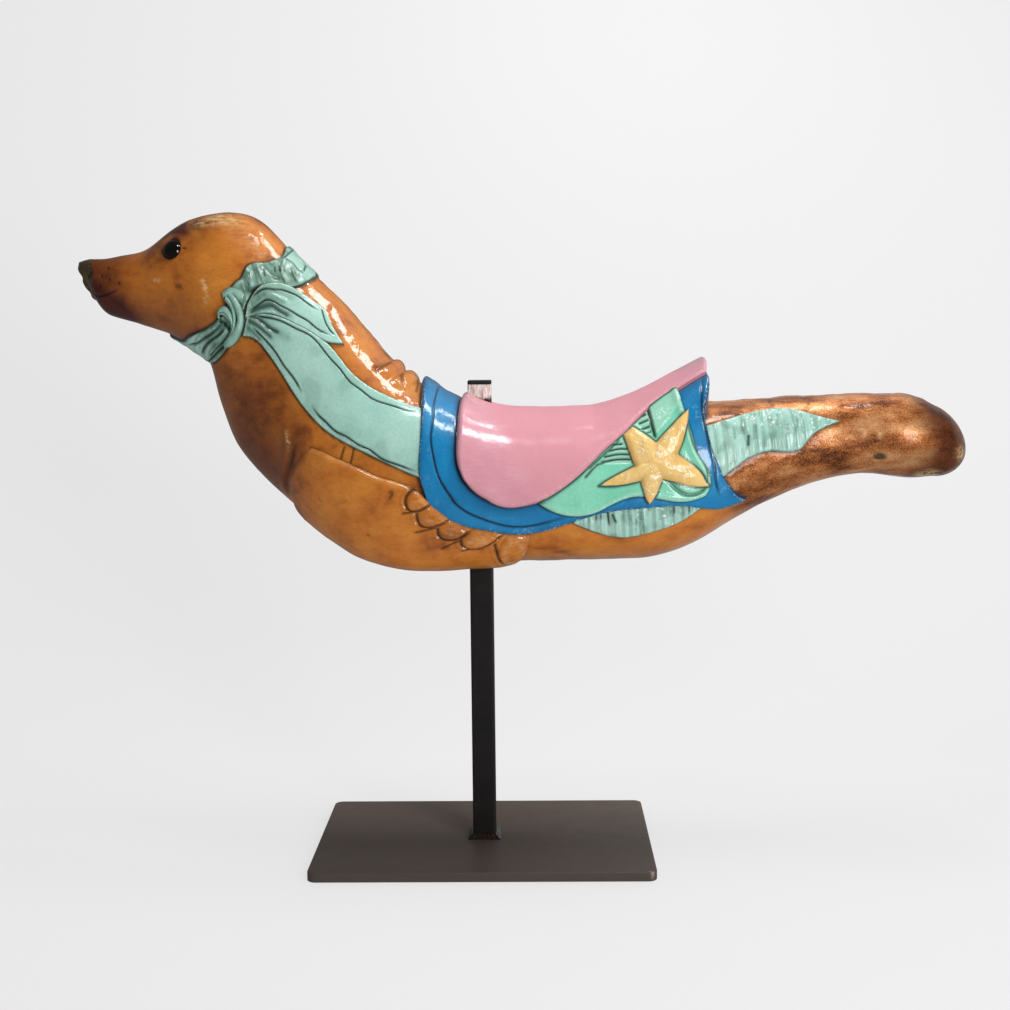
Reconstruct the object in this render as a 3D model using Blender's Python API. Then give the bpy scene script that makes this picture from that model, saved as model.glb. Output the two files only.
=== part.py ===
# Carousel seal on its display stand.
# A carved and painted wooden seal faces -X. A square post of steel tube runs up through it from a plate.
# Origin: the centre of the plate's underside, under the post. +Z is up, and the near side of the seal is -Y.

import bpy
import numpy as np
from math import cos, pi, radians, sin

for old in list(bpy.data.objects):
    bpy.data.objects.remove(old)

# Driving dimensions, in metres.
FIGURE_LENGTH = 1.1905        # nose to tail tip
BELLY_HEIGHT = 0.401          # floor to the lowest line of the belly
SCARF_THICKNESS = 0.005
KNOT_HEIGHT = 0.017
BLANKET_THICKNESS = 0.008
BLANKET_RIM = 0.004           # the front rim stands this much higher over the back
CANTLE_RISE = 0.0385          # block under the back of the saddle
SADDLE_THICKNESS = 0.011      # at the front; the cantle plank is thicker
CANTLE_THICKNESS = 0.015
CLOTH_THICKNESS = 0.004       # green cloth over the blanket
STAR_THICKNESS = 0.012        # at the middle of the starfish
KELP_THICKNESS = 0.004
FLIPPER_THICKNESS = 0.010
FLIPPER_CORNER = 0.017        # how far the flipper's lower corner stands out past its face
TOE_HEIGHT = 0.006
NECK_ROLL_HEIGHT = 0.005
EYE_DIAMETER = 0.030
EYE_SUNK = 0.008              # the eyeball's centre below the skin
NOSE_ROUNDING = 0.005         # past the first station
TAIL_ROUNDING = 0.041         # past the last station
TAIL_DROP = 0.008             # the tail's tip below the middle of its last station
CARVING_ROOT = 0.008          # how deep the pieces of carving root under the skin
SADDLE_ROOT = 0.003           # the saddle's underside below the blanket's face

PLATE_LENGTH = 0.4572
PLATE_DEPTH = 0.3048
PLATE_THICKNESS = 0.0127
PLATE_CORNER = 0.012
PLATE_EDGE = 0.0008
POST_WIDTH = 0.03175
POST_WALL = 0.003
POST_CORNER = 0.0025
POST_REACH = 0.0195           # tube above the saddle, under its cap
CAP_THICKNESS = 0.005
CAP_PLUG_DEPTH = 0.012
WELD_LEG = 0.007

TOUCH_GAP = 0.0003            # between pieces that rest on each other
HOLE_CLEARANCE = 0.0005       # between the post and the hole through the figure
PLUG_CLEARANCE = 0.0003
SOCKET_CLEARANCE = 0.0003

# The figure is drawn in its own units, with x from the post and z from the belly line.
# Each station is one slice of the body: name, top x, top z, bottom x, bottom z, half width,
# share of height where it is widest, squareness.
STATIONS = (
    ("nose", -536, 409, -514, 357, 17, 0.55, 2.2),
    ("nostrils", -524, 412, -505, 344, 26, 0.52, 2.4),
    ("lips", -505, 413, -490, 335, 32, 0.50, 2.4),
    ("muzzle", -478, 417, -466, 328, 37, 0.48, 2.3),
    ("bridge", -447, 424, -438, 319, 43, 0.47, 2.2),
    ("brow", -418, 444, -410, 308, 53, 0.47, 2.2),
    ("eyes", -390, 461, -384, 291, 62, 0.47, 2.2),
    ("cheeks", -352, 471, -362, 272, 70, 0.47, 2.2),
    ("crown", -308, 469, -352, 234, 73, 0.48, 2.2),
    ("nape", -271, 443, -342, 196, 74, 0.50, 2.2),
    ("neck", -237, 404, -328, 161, 77, 0.50, 2.2),
    ("throat", -201, 371, -306, 131, 84, 0.48, 2.2),
    ("chest", -160, 326, -270, 95, 97, 0.45, 2.2),
    ("shoulders", -122, 280, -227, 60, 110, 0.42, 2.2),
    ("withers", -83, 245, -172, 28, 119, 0.42, 2.3),
    ("girth", -42, 222, -100, 8, 124, 0.44, 2.4),
    ("pole", 10, 198, -15, 3, 126, 0.47, 2.5),
    ("seat", 80, 190, 75, 2, 124, 0.48, 2.5),
    ("loins", 155, 193, 158, 3, 119, 0.49, 2.5),
    ("rump", 225, 201, 232, 6, 111, 0.51, 2.4),
    ("hips", 290, 212, 293, 27, 99, 0.51, 2.4),
    ("tail root", 345, 215, 347, 59, 84, 0.50, 2.4),
    ("tail", 405, 219, 407, 88, 71, 0.50, 2.4),
    ("tail waist", 465, 221, 466, 108, 64, 0.50, 2.4),
    ("tail fin", 525, 224, 527, 115, 63, 0.50, 2.4),
    ("tail bulb", 572, 223, 574, 109, 61, 0.50, 2.3),
    ("tail end", 612, 203, 615, 108, 52, 0.50, 2.2),
)
UNITS_PER_DEGREE = 2.0        # along the girth, for the spacing of outline points
BODY_RINGS = 60
BODY_SIDES = 26
NOSE_RINGS = 2
TAIL_RINGS = 4

slices = np.array([row[1:] for row in STATIONS])
middles = (slices[:, 0:2] + slices[:, 2:4]) / 2
drawn_length = middles[-1, 0] - slices[0, 0]
unit = (FIGURE_LENGTH - TAIL_ROUNDING) / drawn_length


def drawn(size):
    """A size in metres, in the figure's own units."""
    return size / unit


def spline(knots, values, at):
    """Natural cubic through the values at the knots, read at the given places."""
    knots = np.asarray(knots, float)
    values = np.asarray(values, float)
    at = np.asarray(at, float)
    step = np.diff(knots)
    count = len(knots)
    matrix = np.eye(count)
    right = np.zeros(count)
    for i in range(1, count - 1):
        matrix[i, i - 1:i + 2] = step[i - 1], 2 * (step[i - 1] + step[i]), step[i]
        right[i] = 6 * ((values[i + 1] - values[i]) / step[i] - (values[i] - values[i - 1]) / step[i - 1])
    bend = np.linalg.solve(matrix, right)
    i = np.clip(np.searchsorted(knots, at) - 1, 0, count - 2)
    after = at - knots[i]
    before = knots[i + 1] - at
    cubic = (bend[i] * before ** 3 + bend[i + 1] * after ** 3) / (6 * step[i])
    low = (values[i] / step[i] - bend[i] * step[i] / 6) * before
    high = (values[i + 1] / step[i] - bend[i + 1] * step[i] / 6) * after
    return cubic + low + high


station_of_slice = np.concatenate([[0.0], np.cumsum(np.hypot(*np.diff(middles, axis=0).T))])
LAST_STATION = station_of_slice[-1]


def skin(station, angle, lift=0.0):
    """Point over the body: station along its middle line, angle around it, lift above the skin.

    The angle is -90 under the belly, 0 at the widest of the near side, 90 on the ridge of the back
    and 180 at the widest of the far side. Each slice is a squared ellipse between its top and bottom.
    """
    station, angle, lift = np.broadcast_arrays(
        np.asarray(station, float), np.asarray(angle, float), np.asarray(lift, float)
    )
    top_x, top_z, low_x, low_z, half_width, widest, square = (
        spline(station_of_slice, slices[:, k], station) for k in range(7)
    )
    across = np.cos(np.radians(angle))
    upward = np.sin(np.radians(angle))
    share_across = np.abs(across) ** (2 / square)
    share_up = np.abs(upward) ** (2 / square)
    reach_up = np.where(upward >= 0, 1 - widest, widest)
    height = widest + np.sign(upward) * reach_up * share_up
    depth = np.hypot(top_x - low_x, top_z - low_z)
    normal_y = -np.sign(across) * share_across ** (square - 1) / half_width
    normal_up = np.sign(upward) * share_up ** (square - 1) / (reach_up * depth)
    length = np.hypot(normal_y, normal_up)
    raised = height + lift * normal_up / length / depth
    x = low_x + (top_x - low_x) * raised
    y = -half_width * np.sign(across) * share_across + lift * normal_y / length
    z = low_z + (top_z - low_z) * raised
    return np.stack([x, y, z], -1)


def ramp(start, end, value):
    """Smooth step from 0 at start to 1 at end."""
    share = np.clip((value - start) / (end - start), 0, 1)
    return share * share * (3 - 2 * share)


def curve(points, count):
    """A smooth curve through a few (station, angle) points, read at even steps."""
    points = np.asarray(points, float)
    steps = np.hypot(np.diff(points[:, 0]), UNITS_PER_DEGREE * np.diff(points[:, 1]))
    knots = np.concatenate([[0.0], np.cumsum(steps)])
    at = np.linspace(0, knots[-1], count)
    return np.stack([spline(knots, points[:, 0], at), spline(knots, points[:, 1], at)], -1)


def fill(lower, upper, start, end, along, across):
    """Stations and angles of a grid that fills four edge curves (a Coons patch).

    lower and upper run from start to end; start and end run from lower to upper.
    """
    s = np.linspace(0, 1, along)[:, None, None]
    t = np.linspace(0, 1, across)[None, :, None]
    low = curve(lower, along)[:, None]
    high = curve(upper, along)[:, None]
    first = curve(start, across)[None]
    last = curve(end, across)[None]
    from_corners = (1 - s) * ((1 - t) * low[:1] + t * high[:1]) + s * ((1 - t) * low[-1:] + t * high[-1:])
    grid = (1 - t) * low + t * high + (1 - s) * first + s * last - from_corners
    return grid[..., 0], grid[..., 1]


def over_the_back(stations, angles):
    """A near-side grid that ends on the ridge, carried on down the far side. The ridge row is left out."""
    near_stations, near_angles = stations[:, :-1], angles[:, :-1]
    far_stations, far_angles = near_stations[:, ::-1], 180 - near_angles[:, ::-1]
    return np.concatenate([near_stations, far_stations], 1), np.concatenate([near_angles, far_angles], 1)


def around(sides):
    """Even angles around a slice, with none on the ridge or on the belly line."""
    return -90 + 360 * (np.arange(sides) + 0.5) / sides


def signed_volume(vertices, faces):
    """Volume of a closed mesh, below zero when its faces point in."""
    total = 0.0
    for face in faces:
        for k in range(1, len(face) - 1):
            a, b, c = vertices[face[0]], vertices[face[k]], vertices[face[k + 1]]
            total += np.dot(a, np.cross(b, c))
    return total / 6


def outward(vertices, faces):
    if signed_volume(vertices, faces) < 0:
        faces = [face[::-1] for face in faces]
    return vertices, faces


def shell(top, base, closed=False):
    """Closed solid between two grids of points; closed joins the last row to the first."""
    rows, columns = top.shape[:2]
    vertices = np.concatenate([top.reshape(-1, 3), base.reshape(-1, 3)])
    offset = rows * columns
    faces = []
    row_pairs = [(i, (i + 1) % rows) for i in range(rows if closed else rows - 1)]
    for i, i2 in row_pairs:
        for j in range(columns - 1):
            a, b = i * columns + j, i2 * columns + j
            faces.append((a, b, b + 1, a + 1))
            faces.append((offset + a + 1, offset + b + 1, offset + b, offset + a))
        first, first2 = i * columns, i2 * columns
        last, last2 = first + columns - 1, first2 + columns - 1
        faces.append((first, offset + first, offset + first2, first2))
        faces.append((last2, offset + last2, offset + last, last))
    if not closed:
        for j in range(columns - 1):
            a, b = j, (rows - 1) * columns + j
            faces.append((a, a + 1, offset + a + 1, offset + a))
            faces.append((b + 1, b, offset + b, offset + b + 1))
    return outward(vertices, faces)


def rings_with_poles(rings, first_pole=None, last_pole=None):
    """Closed solid of rings joined in order, with each end a flat face or a pole."""
    count, sides = rings.shape[:2]
    vertices = [rings.reshape(-1, 3)]
    faces = []
    for i in range(count - 1):
        for j in range(sides):
            a, b = i * sides + j, i * sides + (j + 1) % sides
            faces.append((a, b, b + sides, a + sides))
    pole = count * sides
    for start, point, turn in ((0, first_pole, -1), ((count - 1) * sides, last_pole, 1)):
        if point is None:
            faces.append(tuple(range(start, start + sides))[::turn])
            continue
        vertices.append(np.asarray(point, float)[None])
        for j in range(sides):
            pair = (start + j, start + (j + 1) % sides)
            faces.append(pair[::turn] + (pole,))
        pole += 1
    return outward(np.concatenate(vertices), faces)


def pad(stations, angles, lift, root=-drawn(CARVING_ROOT)):
    """Carving with its face at the given lift, rooted under the skin or at another lift."""
    return shell(skin(stations, angles, lift), skin(stations, angles, root))


def mound(centre, outline, ground, height, rings):
    """Carving inside a closed outline, in rings that shrink to the centre.

    ground gives the lift of what it stands on at a place; height gives what it adds at each share
    of the way out, 0 at the centre and 1 at the outline.
    """
    centre = np.asarray(centre, float)
    root = -drawn(CARVING_ROOT)
    layers = [skin(outline[:, 0], outline[:, 1], root)]
    for share in np.linspace(1, 0, rings + 1)[:-1]:
        stations, angles = (centre + (outline - centre) * share).T
        layers.append(skin(stations, angles, ground(stations, angles) + height(share)))
    peak = skin(*centre, ground(*centre) + height(0.0)[0])
    return rings_with_poles(np.array(layers), skin(*centre, root), peak)


def mirrored(piece):
    vertices, faces = piece
    return vertices * (1, -1, 1), [face[::-1] for face in faces]


# The body.

def body():
    stations = np.linspace(0, LAST_STATION, BODY_RINGS)
    angles = around(BODY_SIDES)
    rings = skin(stations[:, None], angles[None])

    def cap(ring, middle, reach, drop, count):
        turns = np.linspace(0, pi / 2, count + 1)[1:]
        way = np.array([reach, 0, 0])
        down = np.array([0, 0, -drop])
        grown = [middle + (ring - middle) * cos(a) + way * sin(a) + down * (1 - cos(a)) for a in turns[:-1]]
        return grown, middle + way + down

    nose, nose_tip = cap(rings[0], (skin(0, -90) + skin(0, 90)) / 2, -drawn(NOSE_ROUNDING), 0, NOSE_RINGS)
    tail_middle = (skin(LAST_STATION, -90) + skin(LAST_STATION, 90)) / 2
    tail, tail_tip = cap(rings[-1], tail_middle, drawn(TAIL_ROUNDING), drawn(TAIL_DROP), TAIL_RINGS)
    return rings_with_poles(np.array(nose[::-1] + list(rings) + tail), nose_tip, tail_tip)


def neck_rolls():
    """Two soft rolls of skin across the back of the neck, in front of the blanket."""
    rolls = []
    for ridge, reach in ((464, 11), (490, 14)):
        across = np.linspace(-1, 1, 8)[:, None]
        along = np.linspace(-1, 1, 5)[None]
        stations = ridge - 14 * across ** 2 + reach * along
        angles = 90 + 34 * across + 0 * along
        lift = drawn(NECK_ROLL_HEIGHT) * np.sqrt(1 - along ** 2) * (1 - across ** 4) - 1.5
        rolls.append(pad(stations, angles, lift))
    return rolls


# The scarf: a pleated band round the neck, a knot, and two tails on the near side.
BAND_ANGLES = (-90, -60, -30, -10, 10, 30, 50, 62, 90)
BAND_FRONT = (104, 120, 163, 198, 209, 226, 254, 263, 267)
BAND_REAR = (158, 172, 205, 232, 246, 259, 294, 304, 309)
KNOT_MIDDLE = (225, -1)
KNOT_REACH = (25, 13)
SHORT_TAIL = dict(
    lower=((248, 5), (270, 16), (292, 24), (316, 29), (340, 33), (364, 37), (387, 47)),
    upper=((246, 11), (257, 26), (277, 39), (293, 46), (316, 51), (346, 54)),
    start=((248, 5), (246, 11)),
    end=((387, 47), (364, 49), (346, 54)),
)
LONG_TAIL = dict(
    lower=((252, -2), (275, 3), (306, 4), (367, 2), (413, 4), (467, 9), (496, 10), (560, 7)),
    upper=((250, 7), (269, 16), (292, 24), (340, 34), (380, 38), (403, 38), (455, 43), (507, 49), (548, 53)),
    start=((252, -2), (250, 7)),
    end=((560, 7), (548, 53)),
)


def scarf_band():
    angles = around(36)
    near_angle = np.where(angles > 90, 180 - angles, angles)
    front = spline(BAND_ANGLES, BAND_FRONT, near_angle)[:, None]
    rear = spline(BAND_ANGLES, BAND_REAR, near_angle)[:, None]
    across = np.linspace(0, 1, 6)[None]
    pleats = np.array([0.7, 1.2, 0.8, 1.25, 0.85, 0.7])[None]
    stations = front + (rear - front) * across
    grid_angles = np.broadcast_to(angles[:, None], stations.shape)
    top = skin(stations, grid_angles, drawn(SCARF_THICKNESS) * pleats)
    return shell(top, skin(stations, grid_angles, -drawn(CARVING_ROOT)), closed=True)


def scarf_knot():
    turn = np.linspace(0, 2 * pi, 14, endpoint=False)
    wrap = 1 + 0.08 * np.cos(2 * turn)
    outline = np.stack([np.cos(turn) * KNOT_REACH[0] * wrap, np.sin(turn) * KNOT_REACH[1] * wrap], -1)

    def on_band(stations, angles):
        return drawn(SCARF_THICKNESS) * 0.6 + 0 * stations

    def height(share):
        dome = drawn(KNOT_HEIGHT - SCARF_THICKNESS) * np.sqrt(1 - share ** 2)
        fold = 1.5 * share * (1 - share) * 4 * np.cos(2 * turn + 3 * share)
        return dome + fold

    return mound(KNOT_MIDDLE, np.add(KNOT_MIDDLE, outline), on_band, height, 4)


def scarf_tail(edges, along, across):
    stations, angles = fill(edges["lower"], edges["upper"], edges["start"], edges["end"], along, across)
    out = np.linspace(0, 1, along)[:, None]
    pleat = np.cos(np.linspace(0, 4 * pi, across))[None]
    folds = 1 + 0.35 * pleat * (1 - ramp(0.0, 0.45, out))
    return pad(stations, angles, drawn(SCARF_THICKNESS) * folds)


# The blanket, the saddle and what is carved on them.
BLANKET = dict(
    lower=(
        (572, -2), (597, -11), (646, -18), (699, -21), (744, -15), (797, -8),
        (856, -9), (915, -17), (958, -30), (990, -34),
    ),
    start=((572, -2), (553, 7), (543, 20), (534, 36), (518, 59), (508, 90)),
    end=((990, -34), (956, -5), (944, 8), (931, 29), (929, 40), (935, 55), (938, 90)),
    upper=((508, 90), (938, 90)),
)
SADDLE = dict(
    lower=(
        (610, 10), (627, 4), (652, 0), (675, -2), (698, -1), (721, 1), (744, 6), (768, 14),
        (793, 26), (831, 42), (857, 53), (900, 60), (936, 63),
    ),
    start=((610, 10), (598, 18), (590, 34), (583, 55), (580, 90)),
    end=((936, 63), (941, 76), (943, 90)),
    upper=((580, 90), (943, 90)),
)
GREEN_CLOTH = dict(
    lower=(
        (712, 0), (739, -6), (762, -8), (782, -7), (806, -3),
        (840, -1), (865, -4), (911, -11), (930, -11),
    ),
    upper=((714, 3), (744, 9), (768, 17), (793, 29), (831, 46), (857, 56), (898, 61)),
    start=((712, 0), (714, 3)),
    end=((930, -11), (937, -6), (935, 2), (925, 11), (916, 23), (909, 36), (903, 47), (898, 61)),
)
BELLY_KELP = dict(
    lower=((757, -14), (786, -23), (819, -30), (855, -29), (897, -26), (925, -21)),
    upper=((757, -11), (797, -6), (826, -5), (856, -7), (887, -10), (924, -17)),
    start=((757, -14), (757, -11)),
    end=((925, -21), (924, -17)),
)
TAIL_KELP = dict(
    lower=((945, -6), (979, 0), (1020, 2), (1066, -1), (1079, 7), (1094, 13), (1116, 19)),
    upper=((920, 38), (962, 43), (1010, 50), (1040, 49), (1064, 42), (1088, 31), (1117, 20.5)),
    start=((945, -6), (920, 38)),
    end=((1116, 19), (1117, 20.5)),
)
CANTLE_FRONT, CANTLE_REAR = 785, 940     # stations where the block under the saddle starts and is full
PLANK_FRONT, PLANK_REAR = 700, 938       # stations between which the saddle thickens
STAR_MIDDLE = (859, 16)
STAR_TIPS = ((832, 42), (908, 41), (934, -6), (852, -7), (786, 5))
STAR_NOTCHES = ((863, 28), (893, 16), (871, 3), (841, 5), (835, 17))


def blanket_lift(station, angle):
    """Lift of the blanket's face: its thickness, its front rim, and the block under the cantle."""
    to_ridge = np.where(angle > 90, 180 - angle, angle)
    rim = drawn(BLANKET_RIM) * (1 - ramp(528, 556, station)) * ramp(20, 60, to_ridge)
    rise = np.clip((station - CANTLE_FRONT) / (CANTLE_REAR - CANTLE_FRONT), 0, 1) ** 1.4
    return drawn(BLANKET_THICKNESS) + rim + drawn(CANTLE_RISE) * rise * ramp(10, 62, to_ridge)


def blanket():
    stations, angles = over_the_back(*fill(**BLANKET, along=20, across=10))
    return pad(stations, angles, blanket_lift(stations, angles))


def saddle():
    stations, angles = over_the_back(*fill(**SADDLE, along=18, across=8))
    rise = ramp(PLANK_FRONT, PLANK_REAR, stations)
    thickness = drawn(SADDLE_THICKNESS) + drawn(CANTLE_THICKNESS - SADDLE_THICKNESS) * rise
    edge = np.ones(stations.shape)
    edge[:, [0, -1]] = 0.75
    edge[0] *= 0.4
    edge[-1] *= 0.9
    ground = blanket_lift(stations, angles)
    return pad(stations, angles, ground + thickness * edge, ground - drawn(SADDLE_ROOT))


def green_cloth():
    stations, angles = fill(**GREEN_CLOTH, along=13, across=6)
    sway = 1 + 0.3 * np.cos(np.linspace(0, 4 * pi, 13))[:, None]
    return pad(stations, angles, blanket_lift(stations, angles) + drawn(CLOTH_THICKNESS) * sway)


def kelp(edges, along, across):
    stations, angles = fill(**edges, along=along, across=across)
    ripple = 1 + 0.25 * np.cos(np.arange(along) * pi)[:, None]
    return pad(stations, angles, drawn(KELP_THICKNESS) * ripple)


def starfish():
    """Five arms with a crest along each: rings of ten points, tip and notch in turn."""
    corners = np.array([point for pair in zip(STAR_TIPS, STAR_NOTCHES) for point in pair], float)
    on_crest = np.array([1.0, 0.0] * len(STAR_TIPS))

    def height(share):
        arm = on_crest * (0.85 - 0.45 * share) + (1 - on_crest) * 0.5
        return drawn(STAR_THICKNESS) * (arm * share + 1 - share)

    return mound(STAR_MIDDLE, corners, blanket_lift, height, 3)


# The fore flippers lie back along the body, with five toes under the blanket's edge.
FLIPPER = dict(
    lower=((446, -79), (500, -79), (560, -79), (620, -79), (676, -76)),
    upper=((403, -8), (437, -1), (482, 1), (541, 0), (572, -4), (600, -13), (646, -20), (694, -24)),
    start=((446, -79), (412, -62), (396, -46), (394, -30), (403, -8)),
    end=((676, -76), (686, -50), (694, -24)),
)
FLIPPER_FRONT, FLIPPER_REAR = 394, 694
TOES = (  # middle station, middle angle, reach along, reach around in degrees, share of the toe height
    (564, -3, 19, 5, 1.0),
    (584, -11, 21, 7, 1.0),
    (609, -18, 19, 7.5, 1.0),
    (640, -24, 24, 8.5, 1.0),
    (677, -39, 19, 19, 1.7),
)


def flipper_lift(station, angle):
    """Lift of the flipper's face: flat on the side, and full at the lower corner half way along."""
    s = (station - FLIPPER_FRONT) / (FLIPPER_REAR - FLIPPER_FRONT)
    face = drawn(FLIPPER_THICKNESS) * (1 - ramp(-60, -84, angle))
    corner = drawn(FLIPPER_CORNER) * np.exp(-(((s - 0.52) / 0.3) ** 2)) * np.exp(-(((angle + 47) / 22) ** 2))
    ends = np.sqrt(np.clip(s / 0.14, 0, 1)) * (1 - 0.4 * ramp(0.9, 1.0, s))
    return (face + corner) * ends


def flipper():
    along, across = 17, 9
    stations, angles = fill(**FLIPPER, along=along, across=across)
    to_top = ramp(0.82, 1.0, np.linspace(0, 1, across)[None])
    lift = flipper_lift(stations, angles) * (1 - to_top) + 0.3 * drawn(FLIPPER_THICKNESS) * to_top
    return pad(stations, angles, np.maximum(lift, 0.6))


def toe(station, angle, reach, spread, share_of_height):
    turn = np.linspace(0, 2 * pi, 12, endpoint=False)
    outline = np.stack([station + np.cos(turn) * reach, angle + np.sin(turn) * spread], -1)

    def height(share):
        return drawn(TOE_HEIGHT) * (share_of_height * np.sqrt(1 - share ** 2) - 0.2) + 0 * turn

    return mound((station, angle), outline, flipper_lift, height, 2)


# Finishes: name, colour, roughness, metallic.
FINISHES = {
    "varnished_wood": ((0.42, 0.17, 0.04), 0.25, 0.0),
    "mint_paint": ((0.42, 0.62, 0.52), 0.35, 0.0),
    "blue_paint": ((0.01, 0.19, 0.42), 0.25, 0.0),
    "pink_paint": ((0.68, 0.32, 0.39), 0.25, 0.0),
    "green_paint": ((0.16, 0.53, 0.38), 0.3, 0.0),
    "yellow_paint": ((0.76, 0.49, 0.17), 0.4, 0.0),
    "black_glass": ((0.01, 0.01, 0.01), 0.05, 0.0),
    "black_powder_coat": ((0.02, 0.018, 0.018), 0.4, 0.0),
    "black_plastic": ((0.012, 0.012, 0.012), 0.5, 0.0),
    "black_weld": ((0.01, 0.01, 0.01), 0.2, 0.0),
}


def finish(name):
    material = bpy.data.materials.get(name)
    if material:
        return material
    colour, roughness, metallic = FINISHES[name]
    material = bpy.data.materials.new(name)
    material.use_nodes = True
    shader = material.node_tree.nodes["Principled BSDF"]
    shader.inputs["Base Color"].default_value = (*colour, 1)
    shader.inputs["Roughness"].default_value = roughness
    shader.inputs["Metallic"].default_value = metallic
    return material


def place(name, pieces, scale=1.0, height=0.0):
    """One object from closed pieces, each given with its finish."""
    vertices, faces, slots, names = [], [], [], []
    start = 0
    for finish_name, (points, polygons) in pieces:
        if finish_name not in names:
            names.append(finish_name)
        vertices.append(points)
        faces += [tuple(int(v) + start for v in polygon) for polygon in polygons]
        slots += [names.index(finish_name)] * len(polygons)
        start += len(points)
    mesh = bpy.data.meshes.new(name)
    mesh.from_pydata((np.concatenate(vertices) * scale).tolist(), [], faces)
    for finish_name in names:
        mesh.materials.append(finish(finish_name))
    mesh.polygons.foreach_set("material_index", slots)
    mesh.shade_smooth()
    mesh.set_sharp_from_angle(angle=radians(35))
    obj = bpy.data.objects.new(name, mesh)
    obj.location.z = height
    bpy.context.scene.collection.objects.link(obj)
    return obj


def helper(obj):
    obj.hide_render = True
    obj.display_type = "WIRE"
    return obj


def combine(obj, other, operation):
    modifier = obj.modifiers.new(other.name, "BOOLEAN")
    modifier.operation = operation
    modifier.solver = "EXACT"
    modifier.use_self = operation == "UNION"
    modifier.material_mode = "TRANSFER"
    modifier.object = other


# Square and rectangular sections for the stand.

def rounded_rectangle(length, depth, radius, steps):
    points = []
    for corner in range(4):
        centre_x = (length / 2 - radius) * (1 if corner in (0, 3) else -1)
        centre_y = (depth / 2 - radius) * (1 if corner < 2 else -1)
        for k in range(steps + 1):
            angle = (corner + k / steps) * pi / 2
            points.append((centre_x + radius * cos(angle), centre_y + radius * sin(angle)))
    return np.array(points)


def at_height(outline, z):
    return np.concatenate([outline, np.full((len(outline), 1), z)], 1)


CORNER_STEPS = 3
tube_inside = POST_WIDTH - 2 * POST_WALL
post_foot = PLATE_THICKNESS + TOUCH_GAP
saddle_at_post = skin(spline(slices[:, 0], station_of_slice, 0.0), 90)[2] * unit
post_top = BELLY_HEIGHT + saddle_at_post + BLANKET_THICKNESS + SADDLE_THICKNESS + POST_REACH


def plate():
    outline = rounded_rectangle(PLATE_LENGTH, PLATE_DEPTH, PLATE_CORNER, 6)
    eased = rounded_rectangle(
        PLATE_LENGTH - 2 * PLATE_EDGE, PLATE_DEPTH - 2 * PLATE_EDGE, PLATE_CORNER - PLATE_EDGE, 6
    )
    heights = (0, PLATE_EDGE, PLATE_THICKNESS - PLATE_EDGE, PLATE_THICKNESS)
    shapes = (eased, outline, outline, eased)
    return rings_with_poles(np.array([at_height(shape, z) for shape, z in zip(shapes, heights)]))


def post():
    outer = rounded_rectangle(POST_WIDTH, POST_WIDTH, POST_CORNER, CORNER_STEPS)
    inner = rounded_rectangle(tube_inside, tube_inside, POST_CORNER / 2, CORNER_STEPS)
    walls = np.array([
        [*point_out, post_foot, *point_out, post_top, *point_in, post_top, *point_in, post_foot]
        for point_out, point_in in zip(outer, inner)
    ]).reshape(len(outer), 4, 3)
    return closed_loop(walls)


def closed_loop(sections):
    """A section carried round a closed path: both ways of the grid close on themselves."""
    rows, columns = sections.shape[:2]
    faces = []
    for i in range(rows):
        for j in range(columns):
            i2, j2 = (i + 1) % rows, (j + 1) % columns
            faces.append((i * columns + j, i2 * columns + j, i2 * columns + j2, i * columns + j2))
    return outward(sections.reshape(-1, 3), faces)


def weld():
    """Fillet bead in the corner between the post and the plate."""
    sections = []
    for share in (0, 0.25, 0.5, 0.75, 1, None):
        if share is None:
            reach, height = 0.0, 0.0
        else:
            bow = 1 + 0.12 * sin(pi * share)
            reach, height = WELD_LEG * (1 - share) * bow, WELD_LEG * share * bow
        width = POST_WIDTH + 2 * (TOUCH_GAP + reach)
        outline = rounded_rectangle(width, width, POST_CORNER + TOUCH_GAP + reach, CORNER_STEPS)
        sections.append(at_height(outline, post_foot + height))
    return closed_loop(np.array(sections).transpose(1, 0, 2))


def cap():
    """Push-in cap: a plug inside the tube under a head as wide as the tube."""
    plug_width = tube_inside - 2 * PLUG_CLEARANCE
    plug_corner = max(POST_CORNER / 2 - PLUG_CLEARANCE, POST_CORNER / 4)
    plug = rounded_rectangle(plug_width, plug_width, plug_corner, CORNER_STEPS)
    head = rounded_rectangle(POST_WIDTH, POST_WIDTH, POST_CORNER, CORNER_STEPS)
    underside = post_top + TOUCH_GAP
    heights = (underside - CAP_PLUG_DEPTH, underside, underside, underside + CAP_THICKNESS)
    shapes = (plug, plug, head, head)
    return rings_with_poles(np.array([at_height(shape, z) for shape, z in zip(shapes, heights)]))


def ball(radius, rings, sides):
    turns = np.linspace(-pi / 2, pi / 2, rings + 1)[1:-1]
    turn = np.linspace(0, 2 * pi, sides, endpoint=False)
    circle = np.stack([np.cos(turn), np.sin(turn)], -1)
    layers = [at_height(radius * cos(a) * circle, radius * sin(a)) for a in turns]
    return rings_with_poles(np.array(layers), (0, 0, -radius), (0, 0, radius))


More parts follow.
